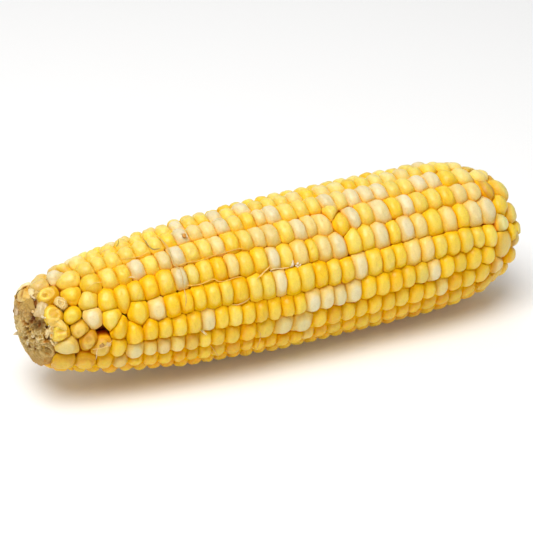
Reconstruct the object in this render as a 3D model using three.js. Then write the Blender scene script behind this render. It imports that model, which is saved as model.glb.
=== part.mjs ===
// Husked ear of bicolour sweet corn, lying on its side.
//
// The ear lies along X: the narrow end, where the tip was cut off square and
// the bare cob shows, points to -X, and the butt, where the shank was cut off,
// points to +X. Millimetres, +Z up, resting on Z = 0 on the crowns of its two
// lowest rows of kernels.
//
// The ear is a cob (the woody rachis) that carries eighteen rows of kernels.
// Each row is a closed solid of its own, with one faceted crown for each kernel
// and a notch between neighbours, and it stands clear of the cob and of the rows
// beside it by a narrow gap.
import * as THREE from 'three';

// ---- driving dimensions (mm, degrees) --------------------------------------
const ORIGIN_X = 0.92;       // station of the ear that sits over the origin
const AXIS_Z = 25.0;         // height of the cob's axis above the surface
const ROW_GAP_DEG = 0.72;    // half of the angular gap between two rows
const COB_GAP = 0.32;        // clearance between a row's base and the cob
const FLANK_DEPTH = 1.75;    // how far a kernel's flank edge sits below its crown
const CROWN_LENGTH = 0.56;   // crown flat, as a share of the kernel's length
const CROWN_WIDTH = 0.52;    // crown flat, as a share of the kernel's width
const COB_SIDES = 36;

// Radius over the kernel crowns at stations along the ear.
const CROWN_X = [-84, -80, -72, -60, -48, -36, -24, -12, 0, 12, 24, 36, 48, 60, 72, 80, 84, 86];
const CROWN_R = [10.5, 13.0, 16.15, 19.05, 20.88, 22.44, 23.58, 24.3, 24.9, 25.05, 25.15, 25.2, 25.15, 24.7, 23.0, 19.9, 17.2, 15.0];

// Radius of the cob under the kernels. Rows and cob share these stations.
const COB_X = [-79.0, -72, -60, -48, -36, -24, -12, 0, 12, 24, 36, 48, 60, 72, 79, 84.0];
const COB_R = [10.4, 11.0, 12.0, 12.9, 13.6, 14.1, 14.5, 14.8, 15.0, 15.1, 15.1, 15.0, 14.6, 13.8, 12.9, 11.4];

// Profile of the bare cut tip, outside the first kernels: station, radius.
const TIP = [[-84.0, 0], [-83.7, 4.2], [-83.1, 8.2], [-81.9, 11.0], [-80.5, 12.1], [-79.6, 12.0]];
const TIP_SLANT = 0.11;       // the cut leans: its upper edge reaches further out than its lower one
// Profile of the cut shank at the butt: a shallow dished scar.
const BUTT = [[84.4, 10.6], [84.4, 6.4], [83.6, 5.2], [83.6, 0]];

// Stations at which the row centre lines are given, and each row's angle round
// the cob there. 0 is the front of the ear (-Y), 90 its top, -90 its underside.
const LINE_X = [-78, -66, -54, -42, -30, -18, -6, 6, 18, 30, 42, 54, 66, 78, 86];
const ROWS = [
  { name: 'kernel_row_01', phi: [112.2, 112.2, 109.6, 106.7, 106.3, 104.8, 102, 100.7, 102.7, 102.8, 100.2, 99.7, 100.4, 100.9, 100.2],
    cuts: [-77.6, -73.9, -69.6, -65.6, -60.2, -55.1, -50.1, -45.3, -40.9, -36.3, -31.3, -27.1, -22.7, -18.7, -14.2, -9.7, -4.5, 0, 4.4, 8.9, 13.7, 19, 24.2, 29.5, 34, 38.8, 43.3, 48.6, 53.4, 58.4, 64, 69.8, 75.5, 80.9, 86] },
  { name: 'kernel_row_02', phi: [86.7, 86.7, 86.2, 87.1, 87.1, 84.9, 83, 82.9, 83.5, 82.4, 81.4, 80.6, 82.9, 84.8, 84.9],
    cuts: [-78.1, -72.2, -65, -60.4, -56.4, -51.5, -46.7, -41.9, -37.3, -33.1, -28.4, -24.1, -19.6, -15, -10.5, -6.3, -2.8, 2.5, 7.7, 12.2, 17, 21.8, 26.1, 31.1, 36, 40.8, 45.6, 50.6, 55.8, 61.3, 67.7, 74.1, 80.1, 86] },
  { name: 'kernel_row_03', phi: [62.6, 63, 63.4, 64.5, 65, 63.9, 62.2, 61.1, 60.8, 61.5, 61.1, 61.8, 62.6, 60.8, 60.1],
    cuts: [-77.7, -72.9, -66.7, -60.1, -55.2, -50.8, -46.2, -41.7, -37.6, -33.1, -28.2, -24, -19.7, -14.8, -10.5, -6.3, -1.5, 3.4, 7.7, 11.6, 16.8, 22.5, 26.9, 32.1, 37.7, 42.2, 46.8, 52.2, 57.3, 62.5, 68.1, 73.7, 80, 86] },
  { name: 'kernel_row_04', phi: [37, 38.5, 40.6, 43, 44.4, 43.3, 41.2, 40.3, 40.1, 40.5, 40.5, 41, 42.3, 44.4, 46.5],
    cuts: [-78.3, -73.7, -68.6, -63, -57.7, -53.3, -49, -44, -38.9, -34.6, -30.9, -26.2, -21.6, -17.8, -12.8, -8, -4.1, 0.6, 5.7, 8.9, 14, 19.3, 24.5, 29.2, 34.6, 38.6, 43.8, 48.7, 54.6, 60.2, 64.7, 70.5, 77.2, 86] },
  { name: 'kernel_row_05', phi: [16, 17.5, 20.1, 21.8, 23, 22.5, 22, 20.8, 19.9, 20.4, 21.2, 20.6, 18.4, 15, 12.3],
    cuts: [-78, -73.2, -68.4, -63.3, -56.5, -48.1, -43.4, -38.7, -34.4, -30.2, -25.4, -21.4, -16.2, -11.8, -7.5, -3.5, 1, 6.2, 11, 15.5, 19.9, 25, 30.4, 34.7, 39.1, 44.7, 49.6, 54.2, 59.5, 64.7, 69.7, 75.5, 80.7, 86] },
  { name: 'kernel_row_06', phi: [-4.5, -2.8, -0.1, 0.2, 0.8, -0.9, -3.1, -1.8, -1.3, -0.6, 0.9, 1.8, 1.6, -0.3, -2.1],
    cuts: [-77.8, -70.9, -64.3, -56, -51, -46.1, -41.8, -37, -32.4, -28, -23.6, -19.1, -14.7, -10.5, -5.9, -1.4, 2.5, 7.6, 12.5, 17, 22.5, 27.7, 32.4, 37.1, 42.1, 46.6, 51.4, 56.6, 61.8, 68.1, 74.1, 79.6, 86] },
  { name: 'kernel_row_07', phi: [-22.1, -22, -20, -18.9, -17.5, -17.8, -19.4, -19.4, -19.3, -19.1, -17.5, -15.9, -15.2, -15.3, -16.2],
    cuts: [-77.1, -71.3, -66, -61.5, -56.1, -50.7, -46.6, -42.2, -37.6, -33.2, -29.2, -24.6, -19.3, -14, -7.6, -1.3, 5.4, 10.7, 15.6, 20.7, 25.4, 30.6, 35.3, 40.5, 45.7, 50.2, 54.9, 60.8, 66.2, 72.5, 79.9, 86] },
  { name: 'kernel_row_08', phi: [-62, -52, -36, -37.5, -36.3, -35.7, -37.5, -37.4, -37.4, -37.3, -36.1, -34.8, -34.3, -34.4, -34.9],
    cuts: [-76.5, -70.3, -64.9, -59.6, -54.7, -50.2, -45.3, -40.7, -36.2, -32.3, -28.1, -23.2, -17.9, -13.7, -9.9, -5.6, -1.3, 3.5, 7.6, 12.4, 17.7, 22.7, 27.3, 32.8, 37.7, 42.2, 47, 52.6, 57.5, 62.7, 68, 73.8, 79.2, 86] },
  { name: 'kernel_row_09', phi: [-87, -74, -60, -60, -59.1, -57.8, -57.7, -57.8, -58, -58, -57.4, -56.9, -56.6, -56.7, -57],
    cuts: [-77.3, -71.7, -66.4, -61.1, -56, -51.4, -46.8, -42.3, -38, -33.5, -28.9, -24.6, -20.1, -15.5, -11.2, -6.7, -2.1, 2.6, 7.1, 11.9, 16.6, 21.6, 26.4, 31, 36, 40.6, 45.7, 50.3, 55.3, 60.5, 66.3, 72.1, 77.7, 86] },
  { name: 'kernel_row_10', phi: [-105, -91, -80, -79, -79, -79, -79, -79, -79, -79, -79, -79, -79, -79, -79],
    cuts: [-78, -72.6, -67.3, -62.4, -57.6, -52.6, -48.1, -43.8, -39.4, -34.8, -30.6, -26.2, -21.7, -17.2, -12.9, -8.6, -4, 0.6, 5, 9.7, 14.5, 19.1, 23.9, 28.8, 33.5, 38.2, 43.1, 48, 53.1, 58.3, 63.5, 69, 74.6, 80.2, 86] },
  { name: 'kernel_row_11', phi: [-122, -108, -101.5, -101, -101, -101, -101, -101, -101, -101, -101, -101, -101, -101, -101],
    cuts: [-77, -71.5, -66.4, -61.3, -56.2, -51.6, -47.2, -42.6, -38.1, -33.9, -29.4, -24.8, -20.5, -16.1, -11.6, -7.3, -2.8, 1.9, 6.4, 11, 15.9, 20.6, 25.2, 30.2, 35, 39.8, 44.7, 49.8, 54.9, 60, 65.4, 71, 76.4, 81.6, 86] },
  { name: 'kernel_row_12', phi: [-137, -126, -122, -121.9, -121.6, -121.5, -121.5, -121.5, -121.5, -121.5, -121.5, -121.6, -121.9, -122, -122],
    cuts: [-77.8, -72.2, -67, -62, -57.2, -52.4, -47.7, -43.4, -39, -34.5, -30.1, -25.8, -21.4, -16.8, -12.4, -8.1, -3.7, 0.9, 5.5, 10, 14.8, 19.6, 24.3, 29.1, 34, 38.8, 43.7, 48.7, 53.6, 58.8, 64.1, 69.6, 75.2, 80.6, 86] },
  { name: 'kernel_row_13', phi: [-151, -144, -142.1, -142, -142, -142, -142, -142, -142, -142, -142, -142, -142, -142, -142],
    cuts: [-77.2, -71.4, -66.1, -61.1, -56.5, -52, -47.3, -42.9, -38.6, -34.1, -29.6, -25.3, -20.9, -16.5, -12, -7.5, -3.1, 1.4, 6.1, 10.8, 15.4, 20.2, 25, 29.7, 34.6, 39.4, 44.3, 49.4, 54.4, 59.5, 64.9, 70.4, 76, 81.2, 86] },
  { name: 'kernel_row_14', phi: [-166.5, -163, -162, -162, -162, -162, -162, -162, -162, -162, -162, -162, -162, -162, -162],
    cuts: [-78.3, -72.9, -67.6, -62.5, -57.7, -53, -48.3, -43.9, -39.6, -35.2, -30.7, -26.3, -21.9, -17.6, -13.2, -8.8, -4.3, 0.2, 4.8, 9.4, 14, 18.7, 23.5, 28.3, 33.1, 38, 42.8, 47.8, 52.9, 57.9, 63.2, 68.7, 74.2, 79.8, 86] },
  { name: 'kernel_row_15', phi: [-184, -182, -182, -182, -182, -182, -182, -182, -182, -182, -182, -182, -182, -182, -182],
    cuts: [-77.5, -71.9, -66.7, -61.6, -56.8, -52.2, -47.6, -43.1, -38.7, -34.3, -29.9, -25.4, -21.1, -16.7, -12.2, -7.8, -3.4, 1.2, 5.8, 10.4, 15.2, 19.9, 24.6, 29.5, 34.3, 39.1, 44.1, 49, 54.1, 59.3, 64.6, 70.2, 75.8, 81, 86] },
  { name: 'kernel_row_16', phi: [-201.5, -201.5, -201.5, -201.5, -201.5, -201.5, -201.5, -201.5, -201.5, -201.5, -201.5, -201.5, -201.5, -201.5, -201.5],
    cuts: [-78, -72.4, -67.1, -62.1, -57.3, -52.7, -48, -43.5, -39.2, -34.9, -30.4, -26, -21.6, -17.2, -12.8, -8.3, -3.9, 0.6, 5.2, 9.9, 14.6, 19.3, 24, 28.8, 33.7, 38.5, 43.4, 48.4, 53.4, 58.5, 63.8, 69.3, 74.9, 80.4, 86] },
  { name: 'kernel_row_17', phi: [-218.5, -218.6, -219, -219.5, -219.6, -219.8, -220.3, -220.5, -220.1, -220.2, -220.6, -220.7, -220.6, -220.6, -220.7],
    cuts: [-76.5, -70.8, -65.3, -60.3, -55.7, -51, -46.3, -41.9, -37.5, -33, -28.6, -24.2, -20, -15.5, -11.1, -6.8, -2.4, 2.1, 6.7, 11.5, 16.4, 21.2, 26.1, 31, 35.7, 40.4, 45.3, 50.3, 55.2, 60.4, 65.9, 71.6, 77.5, 82.7, 86] },
  { name: 'kernel_row_18', phi: [-233.9, -233.9, -235.4, -236.9, -237.1, -237.7, -239.1, -239.7, -238.7, -238.7, -239.9, -240.2, -239.8, -239.6, -240],
    cuts: [-77.3, -71.7, -66.2, -61.2, -56.4, -51.9, -47.3, -42.8, -38.4, -33.9, -29.5, -25.2, -20.7, -16.4, -11.9, -7.6, -3.3, 1.2, 5.8, 10.6, 15.5, 20.3, 25.2, 30.2, 34.8, 39.7, 44.6, 49.4, 54.4, 59.6, 64.9, 70.8, 76.6, 82.2, 86] },
];
// ----------------------------------------------------------------------------

// Piecewise linear reading of a table.
function at(xs, ys, x) {
  if (x <= xs[0]) return ys[0];
  for (let i = 1; i < xs.length; i++) {
    if (x <= xs[i]) return ys[i - 1] + (ys[i] - ys[i - 1]) * (x - xs[i - 1]) / (xs[i] - xs[i - 1]);
  }
  return ys[ys.length - 1];
}

const crownR = (x) => at(CROWN_X, CROWN_R, x);
const cobR = (x) => at(COB_X, COB_R, x);
const rad = (d) => d * Math.PI / 180;

// A point on the ear: station x, radius r, angle phi. Nothing goes below the
// surface that the ear lies on: the lowest crowns are pressed flat there.
function point(x, r, phi) {
  const p = rad(phi);
  return [x - ORIGIN_X, -r * Math.cos(p), Math.max(0, AXIS_Z + r * Math.sin(p))];
}

// The line midway between row i and the row above it (at a higher angle).
function border(i, x) {
  const hi = ROWS[i];
  const up = ROWS[(i + ROWS.length - 1) % ROWS.length];
  let a = at(LINE_X, hi.phi, x), b = at(LINE_X, up.phi, x);
  while (b < a) b += 360;
  while (b - a > 180) b -= 360;
  return (a + b) / 2;
}

function meshFrom(name, verts, tris, material) {
  const g = new THREE.BufferGeometry();
  g.setAttribute('position', new THREE.Float32BufferAttribute(verts.flat(), 3));
  g.setIndex(tris.flat());
  g.computeVertexNormals();
  const m = new THREE.Mesh(g, material);
  m.name = name;
  return m;
}

// One row of kernels.
function kernelRow(i) {
  const row = ROWS[i];
  const V = [], T = [];
  const add = (p) => V.push(p) - 1;
  // a and b wind outward when seen with `up` on the outside
  const tri = (a, b, c) => T.push([a, b, c]);
  const x0 = row.cuts[0], x1 = row.cuts[row.cuts.length - 1];
  const lift = (i === 9 || i === 10) ? 1.15 : 0;          // the two rows it lies on stand a little proud
  const rowR = (x) => crownR(x) + lift * Math.max(0, Math.min(1, (x + 26) / 14)) * Math.max(0, Math.min(1, (62 - x) / 10));
  const hiPhi = (x) => border(i, x) - ROW_GAP_DEG;
  const loPhi = (x) => {
    let v = border((i + 1) % ROWS.length, x);
    const c = at(LINE_X, row.phi, x);
    while (v > c) v -= 360;
    while (c - v > 180) v += 360;
    return v + ROW_GAP_DEG;
  };
  const mid = (x) => at(LINE_X, row.phi, x);

  // base: two vertices at each base station
  const bx = [x0, ...COB_X.filter((x) => x > x0 + 1.5 && x < x1 - 1.5), x1];
  const baseR = (x) => cobR(x) * 1.022 + COB_GAP;
  const baseLo = bx.map((x) => add(point(x, baseR(x), loPhi(x))));
  const baseHi = bx.map((x) => add(point(x, baseR(x), hiPhi(x))));
  // flank edges: one vertex on each side at every notch
  const notchR = (x, end) => Math.max(baseR(x) + 0.9, rowR(x) - (end ? 1.1 : FLANK_DEPTH));
  const n = row.cuts.length;
  const edgeLo = row.cuts.map((x, k) => add(point(x, notchR(x, k === 0 || k === n - 1), loPhi(x))));
  const edgeHi = row.cuts.map((x, k) => add(point(x, notchR(x, k === 0 || k === n - 1), hiPhi(x))));

  // crowns
  for (let k = 0; k + 1 < n; k++) {
    const a = row.cuts[k], b = row.cuts[k + 1], c = (a + b) / 2, h = (b - a) / 2 * CROWN_LENGTH;
    const q = [];
    for (const [sx, sp] of [[-1, -1], [1, -1], [1, 1], [-1, 1]]) {
      const x = c + sx * h;
      const half = sp < 0 ? mid(c) - loPhi(c) : hiPhi(c) - mid(c);
      q.push(add(point(x, rowR(c), mid(c) + sp * half * CROWN_WIDTH)));
    }
    const [e0, e1, e2, e3] = [edgeLo[k], edgeLo[k + 1], edgeHi[k + 1], edgeHi[k]];
    const ring = [e0, e1, e2, e3];
    for (let s = 0; s < 4; s++) {
      const o0 = ring[s], o1 = ring[(s + 1) % 4], i0 = q[s], i1 = q[(s + 1) % 4];
      tri(o0, o1, i1); tri(o0, i1, i0);
    }
    tri(q[0], q[1], q[2]); tri(q[0], q[2], q[3]);
  }

  // flanks: zip the notch edge to the base edge
  const zip = (top, topX, bot, botX, flip) => {
    let t = 0, b = 0;
    while (t < top.length - 1 || b < bot.length - 1) {
      const goTop = b === bot.length - 1 || (t < top.length - 1 && topX[t + 1] <= botX[b + 1]);
      const f = goTop ? [top[t], bot[b], top[t + 1]] : [top[t], bot[b], bot[b + 1]];
      if (flip) f.reverse();
      T.push(f);
      if (goTop) t++; else b++;
    }
  };
  zip(edgeLo, row.cuts, baseLo, bx, false);
  zip(edgeHi, row.cuts, baseHi, bx, true);
  // base
  for (let k = 0; k + 1 < bx.length; k++) {
    tri(baseLo[k], baseHi[k + 1], baseLo[k + 1]);
    tri(baseLo[k], baseHi[k], baseHi[k + 1]);
  }
  // ends
  const m = bx.length - 1;
  tri(baseLo[0], edgeLo[0], edgeHi[0]); tri(baseLo[0], edgeHi[0], baseHi[0]);
  tri(baseLo[m], edgeHi[n - 1], edgeLo[n - 1]); tri(baseLo[m], baseHi[m], edgeHi[n - 1]);

  // turn the whole skin outward
  let vol = 0;
  for (const [a, b, c] of T) {
    const A = V[a], B = V[b], C = V[c];
    vol += A[0] * (B[1] * C[2] - B[2] * C[1]) - A[1] * (B[0] * C[2] - B[2] * C[0]) + A[2] * (B[0] * C[1] - B[1] * C[0]);
  }
  if (vol < 0) T.forEach((f) => f.reverse());
  const shade = [0xf0c24a, 0xeebb3e, 0xf2c95a][i % 3];
  return meshFrom(row.name, V, T, new THREE.MeshStandardMaterial({ color: shade, roughness: 0.42, metalness: 0 }));
}

// The cob: a lathed solid with the rough domed cut at the tip and a dished scar
// where the shank was cut off.
function cob() {
  const profile = [...TIP, ...COB_X.map((x, k) => [x, COB_R[k]]), ...BUTT];
  const pts = profile.map(([x, r]) => new THREE.Vector2(r, x));
  const g = new THREE.LatheGeometry(pts, COB_SIDES);
  g.deleteAttribute('normal');
  g.deleteAttribute('uv');
  // lathe axis is Y; lay it along X
  const pos = g.getAttribute('position');
  const V = [], key = new Map(), remap = [];
  for (let k = 0; k < pos.count; k++) {
    const r = Math.hypot(pos.getX(k), pos.getZ(k));
    const x = pos.getY(k);
    const ang = r < 1e-6 ? 0 : Math.round(Math.atan2(pos.getZ(k), pos.getX(k)) / (2 * Math.PI) * COB_SIDES + COB_SIDES) % COB_SIDES;
    const id = r < 1e-6 ? `a${x}` : `${x.toFixed(4)}_${r.toFixed(4)}_${ang}`;
    if (!key.has(id)) {
      const a = ang / COB_SIDES * 2 * Math.PI;
      const rough = (x < -79.2 && r > 1) ? 1 + 0.022 * Math.sin(3 * a + x) + 0.018 * Math.sin(7 * a + 2.1 * x) : 1;
      const lean = x < -79.5 ? -TIP_SLANT * r * Math.sin(a) : 0;
      key.set(id, V.push([x + lean - ORIGIN_X, -r * rough * Math.cos(a), AXIS_Z + r * rough * Math.sin(a)]) - 1);
    }
    remap.push(key.get(id));
  }
  const idx = g.getIndex();
  const T = [];
  for (let k = 0; k < idx.count; k += 3) {
    const f = [remap[idx.getX(k)], remap[idx.getX(k + 1)], remap[idx.getX(k + 2)]];
    if (f[0] !== f[1] && f[1] !== f[2] && f[2] !== f[0]) T.push(f);
  }
  let vol = 0;
  for (const [a, b, c] of T) {
    const A = V[a], B = V[b], C = V[c];
    vol += A[0] * (B[1] * C[2] - B[2] * C[1]) - A[1] * (B[0] * C[2] - B[2] * C[0]) + A[2] * (B[0] * C[1] - B[1] * C[0]);
  }
  if (vol < 0) T.forEach((f) => f.reverse());
  return meshFrom('cob', V, T, new THREE.MeshStandardMaterial({ color: 0xcbb286, roughness: 0.85, metalness: 0 }));
}

const ear = new THREE.Group();
ear.name = 'corn_ear';
ear.add(cob());
const rows = new THREE.Group();
for (let i = 0; i < ROWS.length; i++) rows.add(kernelRow(i));
ear.add(rows);

export default ear;
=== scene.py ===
"""Husked ear of bicolour sweet corn: the visual model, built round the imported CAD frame.

Every kernel is its own closed, domed mesh.  Kernel outlines come from a weighted cell
diagram on the unrolled surface of the ear, so neighbours press flat against each other
and leave small gaps where three of them meet.  All lengths in the tables are millimetres,
all angles degrees: phi 0 is the front of the ear (-Y), 90 its top, -90 its underside.
"""

import math

import bpy
import numpy as np
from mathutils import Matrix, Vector
from mathutils.bvhtree import BVHTree


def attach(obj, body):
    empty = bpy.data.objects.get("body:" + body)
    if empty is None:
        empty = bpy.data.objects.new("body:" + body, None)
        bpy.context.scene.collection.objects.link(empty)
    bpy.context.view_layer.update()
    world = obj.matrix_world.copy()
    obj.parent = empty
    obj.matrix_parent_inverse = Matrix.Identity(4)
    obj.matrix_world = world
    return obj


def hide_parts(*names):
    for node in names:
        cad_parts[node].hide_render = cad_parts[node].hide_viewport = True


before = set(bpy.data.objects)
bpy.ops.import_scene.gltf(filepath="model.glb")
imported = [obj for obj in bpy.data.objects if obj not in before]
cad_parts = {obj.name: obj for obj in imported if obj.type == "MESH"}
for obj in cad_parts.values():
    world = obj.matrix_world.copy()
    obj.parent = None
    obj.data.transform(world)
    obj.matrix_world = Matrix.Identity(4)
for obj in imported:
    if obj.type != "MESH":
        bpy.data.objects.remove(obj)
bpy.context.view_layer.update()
SC = bpy.context.scene
MM = 0.001

# ---------------------------------------------------------------- dimensions
ORIGIN_X = 0.92
AXIS_Z = 25.0
CROWN_X = [-84, -80, -72, -60, -48, -36, -24, -12, 0, 12, 24, 36, 48, 60, 72, 80, 84, 86]
CROWN_R = [10.5, 13.0, 16.15, 19.05, 20.88, 22.44, 23.58, 24.3, 24.9, 25.05, 25.15, 25.2, 25.15, 24.7, 23.0, 19.9, 17.2, 15.0]
COB_X = [-79.0, -72, -60, -48, -36, -24, -12, 0, 12, 24, 36, 48, 60, 72, 79, 84.0]
COB_R = [10.4, 11.0, 12.0, 12.9, 13.6, 14.1, 14.5, 14.8, 15.0, 15.1, 15.1, 15.0, 14.6, 13.8, 12.9, 11.4]

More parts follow.
